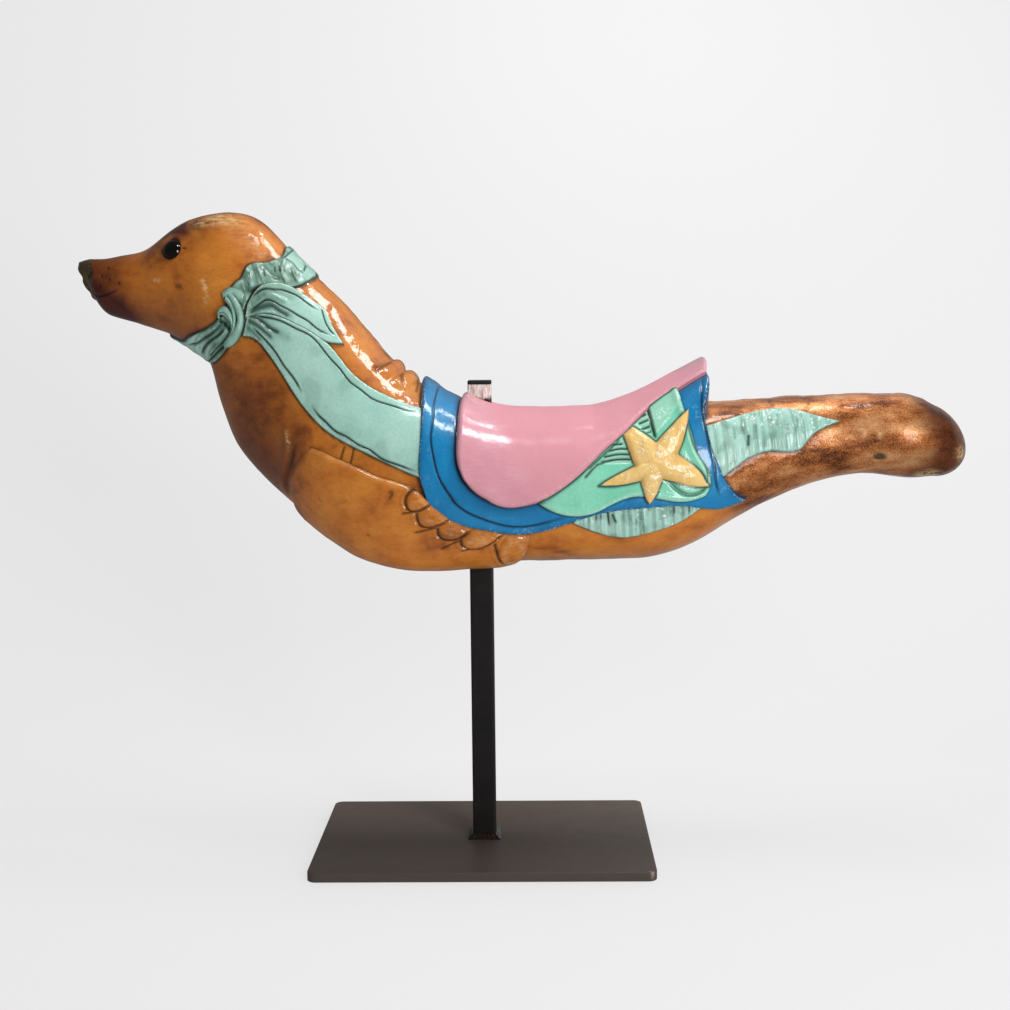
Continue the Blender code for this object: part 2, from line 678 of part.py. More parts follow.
# The figure, from its body and its carving.
near_front = [("varnished_wood", flipper())] + [("varnished_wood", toe(*row)) for row in TOES]
carving = near_front + [(name, mirrored(piece)) for name, piece in near_front]
carving += [("varnished_wood", roll) for roll in neck_rolls()]
carving += [
    ("mint_paint", scarf_band()),
    ("mint_paint", scarf_tail(LONG_TAIL, along=20, across=5)),
    ("mint_paint", scarf_tail(SHORT_TAIL, along=9, across=5)),
    ("mint_paint", scarf_knot()),
    ("blue_paint", blanket()),
    ("green_paint", green_cloth()),
    ("yellow_paint", starfish()),
    ("pink_paint", saddle()),
    ("mint_paint", kelp(BELLY_KELP, along=11, across=3)),
    ("mint_paint", kelp(TAIL_KELP, along=13, across=4)),
]
figure = place("seal_figure", [("varnished_wood", body())], unit, BELLY_HEIGHT)
raised = helper(place("raised_carving", carving, unit, BELLY_HEIGHT))
combine(figure, raised, "UNION")

# The hole for the post, and the eye sockets.
hole_width = POST_WIDTH + 2 * HOLE_CLEARANCE
hole_outline = rounded_rectangle(hole_width, hole_width, POST_CORNER, CORNER_STEPS)
hole_levels = (BELLY_HEIGHT / 2, post_top + POST_WIDTH)
hole = rings_with_poles(np.array([at_height(hole_outline, z) for z in hole_levels]))
EYE_STATION, EYE_ANGLE = 131, 35
EYE_RINGS, EYE_SIDES = 8, 14
socket = ball(EYE_DIAMETER / 2 + SOCKET_CLEARANCE, EYE_RINGS, EYE_SIDES)
eyeball = ball(EYE_DIAMETER / 2, EYE_RINGS, EYE_SIDES)
near_eye = skin(EYE_STATION, EYE_ANGLE, -drawn(EYE_SUNK)) * unit + (0, 0, BELLY_HEIGHT)
far_eye = near_eye * (1, -1, 1)
sockets = [("varnished_wood", (socket[0] + spot, socket[1])) for spot in (near_eye, far_eye)]
cuts = helper(place("post_hole_and_sockets", [("varnished_wood", hole)] + sockets))
combine(figure, cuts, "DIFFERENCE")
triangles = figure.modifiers.new("triangles", "TRIANGULATE")
triangles.ngon_method = "BEAUTY"

for name, spot in (("eye_near", near_eye), ("eye_far", far_eye)):
    eye = place(name, [("black_glass", eyeball)])
    eye.location = spot

# The stand.
place("base_plate", [("black_powder_coat", plate())])
place("stand_post", [("black_powder_coat", post())])
place("weld_bead", [("black_weld", weld())])
place("post_cap", [("black_plastic", cap())])
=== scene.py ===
# The looks of the carousel seal and its stand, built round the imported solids.
# The seal faces -X and its near side is -Y. Sizes of the seal are millimetres in its own frame:
# x from the post, z from the belly line.

import bpy
import numpy as np
from mathutils import Matrix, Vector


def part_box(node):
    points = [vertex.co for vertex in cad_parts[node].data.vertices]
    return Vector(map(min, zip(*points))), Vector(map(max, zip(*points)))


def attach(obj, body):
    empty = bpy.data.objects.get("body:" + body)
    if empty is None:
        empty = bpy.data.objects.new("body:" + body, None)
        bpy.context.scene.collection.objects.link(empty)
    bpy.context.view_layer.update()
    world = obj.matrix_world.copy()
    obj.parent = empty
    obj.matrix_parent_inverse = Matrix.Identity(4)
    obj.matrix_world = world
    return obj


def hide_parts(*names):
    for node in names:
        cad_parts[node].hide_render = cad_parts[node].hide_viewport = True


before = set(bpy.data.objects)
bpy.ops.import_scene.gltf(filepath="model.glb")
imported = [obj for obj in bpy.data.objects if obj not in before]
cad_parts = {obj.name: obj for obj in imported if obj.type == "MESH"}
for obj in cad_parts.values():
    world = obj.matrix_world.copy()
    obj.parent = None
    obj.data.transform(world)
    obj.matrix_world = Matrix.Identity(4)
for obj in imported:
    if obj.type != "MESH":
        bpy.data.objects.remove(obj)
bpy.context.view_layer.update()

mm = 0.001
bellyLine = 401
carvedNode = "seal_figure"
skinRoot = -8          # where the carved layers end, under the skin
perDegree = 2.0        # about how many mm one degree round the body spans

# Slices of the body, one per row, as in the solid: top x, top z, bottom x, bottom z, half width,
# share of the height where it is widest, squareness of the outline.
bodySlices = {
    "nose": (-536, 409, -514, 357, 17, 0.55, 2.2),
    "nostrils": (-524, 412, -505, 344, 26, 0.52, 2.4),
    "lips": (-505, 413, -490, 335, 32, 0.50, 2.4),
    "muzzle": (-478, 417, -466, 328, 37, 0.48, 2.3),
    "bridge": (-447, 424, -438, 319, 43, 0.47, 2.2),
    "brow": (-418, 444, -410, 308, 53, 0.47, 2.2),
    "eyes": (-390, 461, -384, 291, 62, 0.47, 2.2),
    "cheeks": (-352, 471, -362, 272, 70, 0.47, 2.2),
    "crown": (-308, 469, -352, 234, 73, 0.48, 2.2),
    "nape": (-271, 443, -342, 196, 74, 0.50, 2.2),
    "neck": (-237, 404, -328, 161, 77, 0.50, 2.2),
    "throat": (-201, 371, -306, 131, 84, 0.48, 2.2),
    "chest": (-160, 326, -270, 95, 97, 0.45, 2.2),
    "shoulders": (-122, 280, -227, 60, 110, 0.42, 2.2),
    "withers": (-83, 245, -172, 28, 119, 0.42, 2.3),
    "girth": (-42, 222, -100, 8, 124, 0.44, 2.4),
    "pole": (10, 198, -15, 3, 126, 0.47, 2.5),
    "seat": (80, 190, 75, 2, 124, 0.48, 2.5),
    "loins": (155, 193, 158, 3, 119, 0.49, 2.5),
    "rump": (225, 201, 232, 6, 111, 0.51, 2.4),
    "hips": (290, 212, 293, 27, 99, 0.51, 2.4),
    "tail root": (345, 215, 347, 59, 84, 0.50, 2.4),
    "tail": (405, 219, 407, 88, 71, 0.50, 2.4),
    "tail waist": (465, 221, 466, 108, 64, 0.50, 2.4),
    "tail fin": (525, 224, 527, 115, 63, 0.50, 2.4),
    "tail bulb": (572, 223, 574, 109, 61, 0.50, 2.3),
    "tail end": (612, 203, 615, 108, 52, 0.50, 2.2),
}
sliceTable = np.array(list(bodySlices.values()), float)
sliceMiddles = (sliceTable[:, 0:2] + sliceTable[:, 2:4]) / 2
sliceStations = np.concatenate([[0], np.cumsum(np.hypot(*np.diff(sliceMiddles, axis=0).T))])
lastStation = sliceStations[-1]


# Natural cubic through rows of values: the bends at the knots solve one linear system.
def splineThrough(knots, values, at):
    knots, at = np.asarray(knots, float), np.asarray(at, float)
    values = np.asarray(values, float).reshape(len(knots), -1)
    step = np.diff(knots)
    system, right = np.eye(len(knots)), np.zeros(values.shape)
    for i in range(1, len(knots) - 1):
        system[i, i - 1:i + 2] = step[i - 1], 2 * (step[i - 1] + step[i]), step[i]
        right[i] = 6 * ((values[i + 1] - values[i]) / step[i] - (values[i] - values[i - 1]) / step[i - 1])
    bend = np.linalg.solve(system, right)
    i = np.clip(np.searchsorted(knots, at) - 1, 0, len(knots) - 2)
    after, before, width = (at - knots[i])[..., None], (knots[i + 1] - at)[..., None], step[i][..., None]
    cubic = (bend[i] * before ** 3 + bend[i + 1] * after ** 3) / (6 * width)
    low = (values[i] / width - bend[i] * width / 6) * before
    high = (values[i + 1] / width - bend[i + 1] * width / 6) * after
    return cubic + low + high


# A point over the body: the station runs along its middle line, and the angle goes round it from -90 on
# the belly by 0 on the near side and 90 on the back. A slice is a squared ellipse, with lift along its
# normal.
def skinPoint(station, angle, lift=0.0):
    station, angle, lift = np.broadcast_arrays(*(np.asarray(v, float) for v in (station, angle, lift)))
    topX, topZ, lowX, lowZ, half, widest, square = np.moveaxis(
        splineThrough(sliceStations, sliceTable, station), -1, 0)
    across, upward = np.cos(np.radians(angle)), np.sin(np.radians(angle))
    shareAcross, shareUp = np.abs(across) ** (2 / square), np.abs(upward) ** (2 / square)
    reachUp = np.where(upward >= 0, 1 - widest, widest)
    depth = np.hypot(topX - lowX, topZ - lowZ)
    normalY = -np.sign(across) * shareAcross ** (square - 1) / half
    normalUp = np.sign(upward) * shareUp ** (square - 1) / (reachUp * depth)
    length = np.hypot(normalY, normalUp)
    height = widest + np.sign(upward) * reachUp * shareUp + lift * normalUp / length / depth
    y = -half * np.sign(across) * shareAcross + lift * normalY / length
    return np.stack([lowX + (topX - lowX) * height, y, lowZ + (topZ - lowZ) * height], -1)


# Millimetres along the girth for one degree, from the slice's mean radius.
def girthScale(station):
    topX, topZ, lowX, lowZ, half = splineThrough(sliceStations, sliceTable, station)[..., :5].T
    return (half + np.hypot(topX - lowX, topZ - lowZ) / 2).T / 2 * np.pi / 180


# Smooth step from 0 at start to 1 at end.
def ramp(start, end, value):
    share = np.clip((value - start) / (end - start), 0, 1)
    return share * share * (3 - 2 * share)


# 1 on the line and 0.37 at one width from it.
def bell(distance, width):
    return np.exp(-(distance / width) ** 2)


# The near-side angle of a place: the far side reads as the near side does.
def nearAngle(angle):
    return np.where(angle > 90, 180 - angle, angle)


# Unevenness from about -1 to 1: a sum of sine waves near the given length, in drawn directions.
def wander(points, size, seed):
    draw = np.random.default_rng(seed)
    turns = draw.normal(size=(14, 3))
    turns /= np.linalg.norm(turns, axis=1)[:, None]
    waves = turns * (2 * np.pi / size * draw.uniform(0.6, 1.5, (14, 1)))
    return np.sin(points @ waves.T + draw.uniform(0, 2 * np.pi, 14)).sum(-1) / 3.8


# A smooth line through a few (station, angle) places, read at even steps.
def smoothLine(places, count):
    places = np.asarray(places, float)
    steps = np.hypot(np.diff(places[:, 0]), perDegree * np.diff(places[:, 1]))
    knots = np.concatenate([[0], np.cumsum(steps)])
    return splineThrough(knots, places, np.linspace(0, knots[-1], count))


# Flat distance in mm from each place of a grid to a smooth line, and how far along it the nearest part is.
def nearLine(stations, angles, places, reach=14):
    distance, along = np.full(stations.shape, 99.0), np.zeros(stations.shape)
    single = np.array([places[0], places[0]], float)
    line = smoothLine(places, 12 * len(places)) if len(places) > 1 else single
    scale = girthScale(line[:, 0])
    margin = reach / scale.min()
    close = (stations > line[:, 0].min() - reach) & (stations < line[:, 0].max() + reach)
    close &= (angles > line[:, 1].min() - margin) & (angles < line[:, 1].max() + margin)
    u, a = stations[close], angles[close]
    best, share = np.full(u.shape, 99.0), np.zeros(u.shape)
    for i in range(len(line) - 1):
        (u0, a0), (u1, a1), k = line[i], line[i + 1], scale[i]
        du, da = u1 - u0, (a1 - a0) * k
        t = np.clip(((u - u0) * du + (a - a0) * k * da) / max(du * du + da * da, 1e-9), 0, 1)
        away = np.hypot(u - u0 - t * du, (a - a0) * k - t * da)
        closer = away < best
        best = np.where(closer, away, best)
        share = np.where(closer, (i + t) / (len(line) - 1), share)
    distance[close], along[close] = best, share
    return distance, along


# Distance in mm to the nearest of some lines.
def nearestOf(stations, angles, lines):
    return np.minimum.reduce([nearLine(stations, angles, line, 9)[0] for line in lines])


# Chisel cuts and ridges: each adds its depth times a bell of the distance to its line, and stains it.
# A cut is (depth, half width, stain, places); it fades at its ends.
def carve(stations, angles, cuts):
    height, stain = np.zeros(stations.shape), np.zeros(stations.shape)
    for depth, width, dark, places in cuts:
        distance, along = nearLine(stations, angles, places, 4 * width)
        fade = 1.0 if len(places) == 1 else np.clip(np.minimum(along, 1 - along) / 0.12 + 0.25, 0, 1)
        height += depth * bell(distance, width) * fade
        stain = np.maximum(stain, dark * bell(distance, 1.2 * width) * fade)
    return height, stain


# The same cut along each of some lines.
def alike(depth, width, stain, lines):
    return [(depth, width, stain, line) for line in lines]


# Lines moved along the body and round it.
def shifted(lines, along, turn):
    return [[(station + along, angle + turn) for station, angle in line] for line in lines]


# Stations and angles of a grid that fills four edge lines (a Coons patch). lower and upper run from start
# to end; start and end run from lower to upper.
def fillEdges(edges):
    along, across = edges["along"], edges["across"]
    s = np.linspace(0, 1, along)[:, None, None]
    t = np.linspace(0, 1, across)[None, :, None]
    low, high = smoothLine(edges["lower"], along)[:, None], smoothLine(edges["upper"], along)[:, None]
    first, last = smoothLine(edges["start"], across)[None], smoothLine(edges["end"], across)[None]
    corners = (1 - s) * ((1 - t) * low[:1] + t * high[:1]) + s * ((1 - t) * low[-1:] + t * high[-1:])
    grid = (1 - t) * low + t * high + (1 - s) * first + s * last - corners
    return grid[..., 0], grid[..., 1]


# The grid of a near-side layer, its places on the skin, and the distance to the edges that count.
def layerGrid(shape, sides):
    stations, angles = fillEdges(shape)
    plain = skinPoint(stations, angles)
    return stations, angles, plain, edgeDistance(plain, sides)


# A near-side grid that ends on the ridge, carried on down the far side.
def overTheBack(stations, angles):
    return (np.concatenate([stations, stations[:, -2::-1]], 1),
            np.concatenate([angles, 180 - angles[:, -2::-1]], 1))


# Distance in mm to the nearest edge of a grid of points, summed along its rows and columns.
def edgeDistance(points, sides=(1, 1, 1, 1)):
    rowStep = np.linalg.norm(np.diff(points, axis=0), axis=-1)
    columnStep = np.linalg.norm(np.diff(points, axis=1), axis=-1)
    fromStart = np.concatenate([np.zeros((1, points.shape[1])), np.cumsum(rowStep, 0)])
    fromLow = np.concatenate([np.zeros((points.shape[0], 1)), np.cumsum(columnStep, 1)], 1)
    edges = (fromStart, fromStart[-1:] - fromStart, fromLow, fromLow[:, -1:] - fromLow)
    return np.minimum.reduce([edge if used else edge * 0 + 999 for edge, used in zip(edges, sides)])


# A quarter-round edge: 0 at the edge and 1 from the given radius on.
def roundEdge(distance, radius):
    return np.sqrt(1 - (1 - np.clip(distance / radius, 0, 1)) ** 2)


# Puts an object into the scene, at a place and along three axes where they are given.
def addObject(name, data, place=None, axes=None):
    made = bpy.data.objects.new(name, data)
    bpy.context.scene.collection.objects.link(made)
    if axes is not None:
        made.matrix_world = Matrix(np.stack(axes, 1).tolist()).to_4x4()
        made.location = place
    return made


# One colour per vertex under a name, which the materials read.
def addField(mesh, key, values):
    field = mesh.attributes.new(key, "FLOAT_COLOR", "POINT")
    field.data.foreach_set("color", np.asarray(values, np.float32).ravel())


# Everything built goes through here: faces are loops of vertex numbers, all of one size or padded with -1.
def addPiece(name, points, faces, material, nodes, marks=None):
    points = np.asarray(points, float)
    a, b, c = points[faces[:, 0]], points[faces[:, 1]], points[faces[:, 2]]
    d = points[np.where(faces[:, 3] < 0, faces[:, 0], faces[:, 3])]
    volume = (a * np.cross(b, c)).sum() + (a * np.cross(c, d)).sum()
    if volume < 0:
        triangles = faces[:, 3] < 0
        faces = np.where(triangles[:, None], faces[:, [0, 2, 1, 3]], faces[:, ::-1])
    sizes = np.where(faces[:, 3] < 0, 3, 4)
    loops = faces[faces >= 0]
    mesh = bpy.data.meshes.new(name)
    mesh.vertices.add(len(points))
    mesh.vertices.foreach_set("co", points.astype(np.float32).ravel())
    mesh.loops.add(len(loops))
    mesh.loops.foreach_set("vertex_index", loops.astype(np.int32))
    mesh.polygons.add(len(faces))
    starts = np.concatenate([[0], np.cumsum(sizes)[:-1]])
    mesh.polygons.foreach_set("loop_start", starts.astype(np.int32))
    mesh.update(calc_edges=True)
    mesh.validate()
    mesh.shade_smooth()
    for key, values in (marks or {}).items():
        addField(mesh, key, values)
    mesh.materials.append(material)
    piece = addObject(name, mesh)
    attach(piece, "root")
    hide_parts(*nodes)
    print(name, len(points), "vertices")
    return piece


# Quads of a grid of rows by columns, which may close on itself either way.
def gridFaces(rows, columns, closeRows=False, closeColumns=False):
    i = np.arange(rows if closeRows else rows - 1)[:, None]
    j = np.arange(columns if closeColumns else columns - 1)[None]
    nextRow, nextColumn = (i + 1) % rows, (j + 1) % columns
    faces = [i * columns + j, i * columns + nextColumn, nextRow * columns + nextColumn, nextRow * columns + j]
    return np.stack([np.broadcast_to(f, (i.size, j.size)).ravel() for f in faces], -1)


# A fan from each pair of neighbours on a loop to one point.
def fanFaces(loop, pole, turn):
    pairs = np.stack([loop, np.roll(loop, -1)], -1)[:, ::turn]
    return np.concatenate([pairs, np.full((len(loop), 1), pole), np.full((len(loop), 1), -1)], 1)


# Closed skin of rings that meet in a point at each end.
def closedRings(rings, firstPole, lastPole):
    rows, columns = rings.shape[:2]
    points = np.concatenate([rings.reshape(-1, 3), [firstPole], [lastPole]])
    ring = np.arange(columns)
    return points, np.concatenate([
        gridFaces(rows, columns, closeColumns=True),
        fanFaces(ring, rows * columns, -1),
        fanFaces(ring + (rows - 1) * columns, rows * columns + 1, 1),
    ])


# Closed slab under a grid of points: walls down to the root from all four edges, in two steps so that the
# edge shades crisply, and a base that crosses from one long edge to the other, inside the wood.
def closedSlab(top, rootEdge, firstStep=0.15):
    rows, columns = top.shape[:2]
    index = np.arange(rows * columns).reshape(rows, columns)
    border = np.concatenate([index[:, 0], index[-1, 1:], index[-2::-1, -1], index[0, -2:0:-1]])
    upper, lower = top.reshape(-1, 3)[border], rootEdge.reshape(-1, 3)[border]
    points = np.concatenate([top.reshape(-1, 3), upper + (lower - upper) * firstStep, lower])
    count = len(border)
    middle = rows * columns
    offset = middle + count
    k = np.arange(count)
    after = (k + 1) % count
    walls = [np.stack([border, middle + k, middle + after, border[after]], -1),
             np.stack([middle + k, offset + k, offset + after, middle + after], -1)]
    first = offset + np.arange(rows)                                   # root under the first column
    last = offset + (rows - 1) + (columns - 1) + np.arange(rows)[::-1]   # root under the last column
    ladder = np.stack([first[:-1], last[:-1], last[1:], first[1:]], -1)
    startEdge = np.concatenate([[first[0]], offset + np.arange(count - columns + 2, count)[::-1], [last[0]]])
    endEdge = np.concatenate([[first[-1]], offset + (rows - 1) + np.arange(1, columns - 1), [last[-1]]])
    ends = []
    for edge, turn in ((startEdge, 1), (endEdge, -1)):
        fan = np.stack([np.full(len(edge) - 2, edge[0]), edge[1:-1], edge[2:], np.full(len(edge) - 2, -1)], -1)
        ends.append(fan if turn > 0 else fan[:, [0, 2, 1, 3]])
    return points, np.concatenate([gridFaces(rows, columns), *walls, ladder, *ends])


# Drawn millimetres to metres in the scene, with the belly line at its height over the floor.
def toMetres(points):
    return (np.asarray(points) + (0, 0, bellyLine)) * mm


# The far side is the near side with y turned round.
def mirrorFar(points):
    return points * (1, -1, 1)


# Marks carried by the vertices: red is dark glaze and painted shade, green is wear and painted highlights, blue
# is the piece's second colour.
def markValues(stain, wear, second):
    values = [np.clip(np.broadcast_to(v, stain.shape), 0, 1) for v in (stain, wear, second)]
    return np.stack([*values, np.ones(stain.shape)], -1).reshape(-1, 4)


unmarked = (0, 0, 0, 1)


# A carved layer over the skin: lift of its face, marks of its face, and the lift of its root. Its walls are
# darkened as glaze and painted shade under its edge.
def addLayer(name, stations, angles, lift, marks, material, root=skinRoot, mirror=False,
             wallGlazeAndShade=0.6):
    top = skinPoint(stations, angles, lift)
    rootEdge = skinPoint(stations, angles, root)
    if mirror:
        top, rootEdge = mirrorFar(top), mirrorFar(rootEdge)
    points, faces = closedSlab(top, rootEdge)
    values = markValues(*marks)
    spare = np.tile((wallGlazeAndShade, 0, 0, 1), (len(points) - len(values), 1))
    return addPiece(name, toMetres(points), faces, material, [carvedNode],
                    {"marks": np.concatenate([values, spare])})


# Colours are sRGB hex, turned to linear here.
def linear(code):
    parts = np.array([int(code[i:i + 2], 16) for i in (1, 3, 5)]) / 255
    return (*np.where(parts <= 0.04045, parts / 12.92, ((parts + 0.055) / 1.055) ** 2.4), 1.0)


# Adds one node: settings are its own values, inputs are sockets by name or number, each a value or a link.
def addNode(tree, kind, inputs=None, stops=None, **settings):
    made = tree.nodes.new(kind)
    for key, value in settings.items():
        setattr(made, key, value)
    for key, value in (inputs or {}).items():
        if isinstance(value, bpy.types.NodeSocket):
            tree.links.new(value, made.inputs[key])
        else:
            made.inputs[key].default_value = value
    if stops:
        while len(made.color_ramp.elements) < len(stops):
            made.color_ramp.elements.new(0.5)
        for element, (place, code) in zip(made.color_ramp.elements, stops):
            element.position = place
            element.color = linear(code)
    return made


# A material whose shader holds the given constants: each key is a socket's name, as for feed.
def newMaterial(name, **constants):
    material = bpy.data.materials.new(name)
    material.use_nodes = True
    tree = material.node_tree
    shader = tree.nodes["Principled BSDF"]
    for key, value in constants.items():
        shader.inputs[key.replace("_", " ")].default_value = value
    return material, tree, shader


# The three channels of one attribute as sockets. Those of the marks are glaze, wear and second colour.
def marksOf(tree, name="marks"):
    marks = addNode(tree, "ShaderNodeAttribute", attribute_name=name)
    parts = addNode(tree, "ShaderNodeSeparateColor", {"Color": marks.outputs["Color"]}).outputs
    return parts["Red"], parts["Green"], parts["Blue"]


# The piece's own coordinates: a scale below 1 stretches what is drawn with them.
def objectPlaces(tree, scale=(1, 1, 1)):
    places = addNode(tree, "ShaderNodeTexCoord").outputs["Object"]
    return addNode(tree, "ShaderNodeMapping", {"Vector": places, "Scale": scale}).outputs[0]


# A colour between two by a share, or the first changed by the second in another mode.
def mixed(tree, share, first, second, mode="MIX"):
    return addNode(tree, "ShaderNodeMix", {0: share, 6: first, 7: second}, data_type="RGBA",
                   blend_type=mode).outputs[2]


# A value moved from the range low to high into the range toLow to toHigh.
def scaled(tree, value, low, high, toLow=0.0, toHigh=1.0):
    return addNode(tree, "ShaderNodeMapRange", {0: value, 1: low, 2: high, 3: toLow, 4: toHigh}).outputs[0]


# Arithmetic on two values: each is a number or a link.
def combined(tree, operation, first, second):
    return addNode(tree, "ShaderNodeMath", {0: first, 1: second}, operation=operation).outputs[0]


def times(tree, first, second):
    return combined(tree, "MULTIPLY", first, second)


def plus(tree, first, second):
    return combined(tree, "ADD", first, second)


# Links values into the shader: each key is a socket's name, with underscores for its spaces.
def feed(tree, shader, **links):
    for key, value in links.items():
        tree.links.new(value, shader.inputs[key.replace("_", " ")])


# Noise whose waves are about size mm long.
def noise(tree, places, size, detail=3.0, roughness=0.55):
    inputs = {"Vector": places, "Scale": 1 / (size * mm), "Detail": detail, "Roughness": roughness}
    return addNode(tree, "ShaderNodeTexNoise", inputs).outputs["Fac"]


# Fine relief in the shading: the height is scaled by the strength and the depth in mm.
def addBump(tree, shader, height, strength, depth, sockets=("Normal",)):
    bump = addNode(tree, "ShaderNodeBump", {"Height": height, "Strength": strength, "Distance": depth * mm})
    for socket in sockets:
        tree.links.new(bump.outputs[0], shader.inputs[socket])


# Basswood stained amber under a thick gloss varnish: warm and cloudy, smudged darker here and there, dark
# stain left in the cuts, and pale scratched places where the varnish is worn. The tail is rubbed with bronze
# powder, which gives it a broken metal shine.
amberWood = dict(
    pale="#CE8430", amber="#BA6C22", brown="#884814", dark="#1C0C04", worn="#D8B07A", scuff="#C79A78",
    # shade darkens the brow and crown as stain, and the snout, throat and chest as painted shade
    shade="#6A3816", bronze="#B46C38", bronzeDark="#4A210C", bronzeGold="#EBB27C",
    pad="#2E230F", padLight="#5E4A22",
)


def makeWood():
    w = amberWood
    material, tree, shader = newMaterial("stainedBasswood", IOR=1.5, Specular_IOR_Level=0.25,
                                         Coat_Roughness=0.06)
    glazeAndShade, wear, scuffed = marksOf(tree)
    pad, copper, shaded = marksOf(tree, "regions")
    places = objectPlaces(tree)
    along = objectPlaces(tree, (0.4, 1, 1))
    cloud = noise(tree, places, 55, 4, 0.6)
    smudge = noise(tree, along, 16, 4, 0.65)
    fine = noise(tree, along, 2.4, 4, 0.65)
    fleck = noise(tree, places, 1.8, 3, 0.7)
    patches = noise(tree, along, 26, 4, 0.6)
    tone = plus(tree, scaled(tree, cloud, 0.3, 0.7, 0, 0.7), scaled(tree, smudge, 0.3, 0.7, 0, 0.3))
    wood = addNode(tree, "ShaderNodeValToRGB", {0: tone},
                   stops=[(0.15, w["brown"]), (0.45, w["amber"]), (0.9, w["pale"])]).outputs[0]
    wood = mixed(tree, scaled(tree, smudge, 0.56, 0.72, 0, 0.45), wood, linear(w["brown"]))
    wood = mixed(tree, scaled(tree, fine, 0.45, 0.75, 0.0, 0.3), wood, linear(w["brown"]))
    bronzeTone = plus(tree, scaled(tree, fleck, 0.3, 0.7, 0, 0.4), scaled(tree, patches, 0.3, 0.7, 0, 0.6))
    bronze = addNode(tree, "ShaderNodeValToRGB", {0: bronzeTone},
                     stops=[(0.25, w["bronzeDark"]), (0.5, w["bronze"]), (0.78, w["bronzeGold"])]).outputs[0]
    wood = mixed(tree, copper, wood, bronze)
    wood = mixed(tree, shaded, wood, linear(w["shade"]), "MULTIPLY")
    padTone = mixed(tree, scaled(tree, fleck, 0.4, 0.7), linear(w["pad"]), linear(w["padLight"]))
    padShare = plus(tree, pad, scaled(tree, noise(tree, places, 6, 3), 0.3, 0.7, -0.25, 0.25))
    wood = mixed(tree, scaled(tree, times(tree, padShare, pad), 0.15, 0.6), wood, padTone)
    broken = noise(tree, along, 5, 5, 0.75)
    wood = mixed(tree, times(tree, scuffed, scaled(tree, broken, 0.4, 0.62)), wood, linear(w["scuff"]))
    # The worn colour is wear, and on the flippers it is painted highlight.
    wood = mixed(tree, times(tree, wear, scaled(tree, broken, 0.42, 0.56)), wood, linear(w["worn"]))
    # The dark colour is glaze in the cuts and painted shade along edges and joins.
    wood = mixed(tree, glazeAndShade, wood, linear(w["dark"]))
    metal = times(tree, copper, scaled(tree, bronzeTone, 0.25, 0.7, 0.25, 0.7))
    metal = times(tree, metal, scaled(tree, glazeAndShade, 0, 0.5, 1, 0))
    coat = times(tree, scaled(tree, scuffed, 0, 0.7, 0.85, 0.05), scaled(tree, copper, 0, 1, 1, 0.35))
    rough = plus(tree, scaled(tree, patches, 0.3, 0.7, 0.46, 0.58), times(tree, copper, -0.04))
    rough = plus(tree, rough, times(tree, scuffed, 0.3))
    feed(tree, shader, Base_Color=wood, Metallic=metal, Coat_Weight=coat, Roughness=rough)
    waves, grain = noise(tree, places, 15, 2), noise(tree, places, 3.2, 3, 0.6)
    ripple = plus(tree, times(tree, waves, 0.8), times(tree, grain, 0.12))
    addBump(tree, shader, ripple, 0.45, 1.6, ("Normal", "Coat Normal"))
    return material


# Oil paint over carved wood, rubbed with a dark glaze that stays in the cuts, under clear varnish: a body
# colour that clouds a little, brush lines, worn pale edges, near-black lines. The dark colour also paints shade
# along edges and in hollows, and the worn colour paints highlights where marked. The second colour of the mint
# and the blue is painted shade, and that of the yellow is grey painted glints. The saddle's seat is rubbed
# dull.
paints = {
    "mintPaint": dict(
        main="#95C0B3", cloud="#A9CFC2", low="#6FA392", second="#56745F", dark="#0F2A26", worn="#D5E8DE",
        roughness=0.4, coat=0.5),
    "bluePaint": dict(
        main="#1173A6", cloud="#1A84B8", low="#0B5788", second="#0A3F66", dark="#06121E", worn="#C4DCE8",
        roughness=0.35, coat=0.8),
    "pinkPaint": dict(
        main="#CC8B98", cloud="#D79BA6", low="#BC7A88", second="#CE8E98", dark="#3A1A24", worn="#EBC6CC",
        roughness=0.38, coat=0.8, dull=0.93),
    "greenPaint": dict(
        main="#6CC2A2", cloud="#86CEB2", low="#48AA8B", second="#9CCBB4", dark="#0C332A", worn="#DDF3E8",
        roughness=0.38, coat=0.7),
    "yellowPaint": dict(
        main="#DFB566", cloud="#E5C480", low="#CE9645", second="#BFB6B8", dark="#70451A", worn="#FAF3E8",
        roughness=0.4, coat=0.7, speck=9),
}


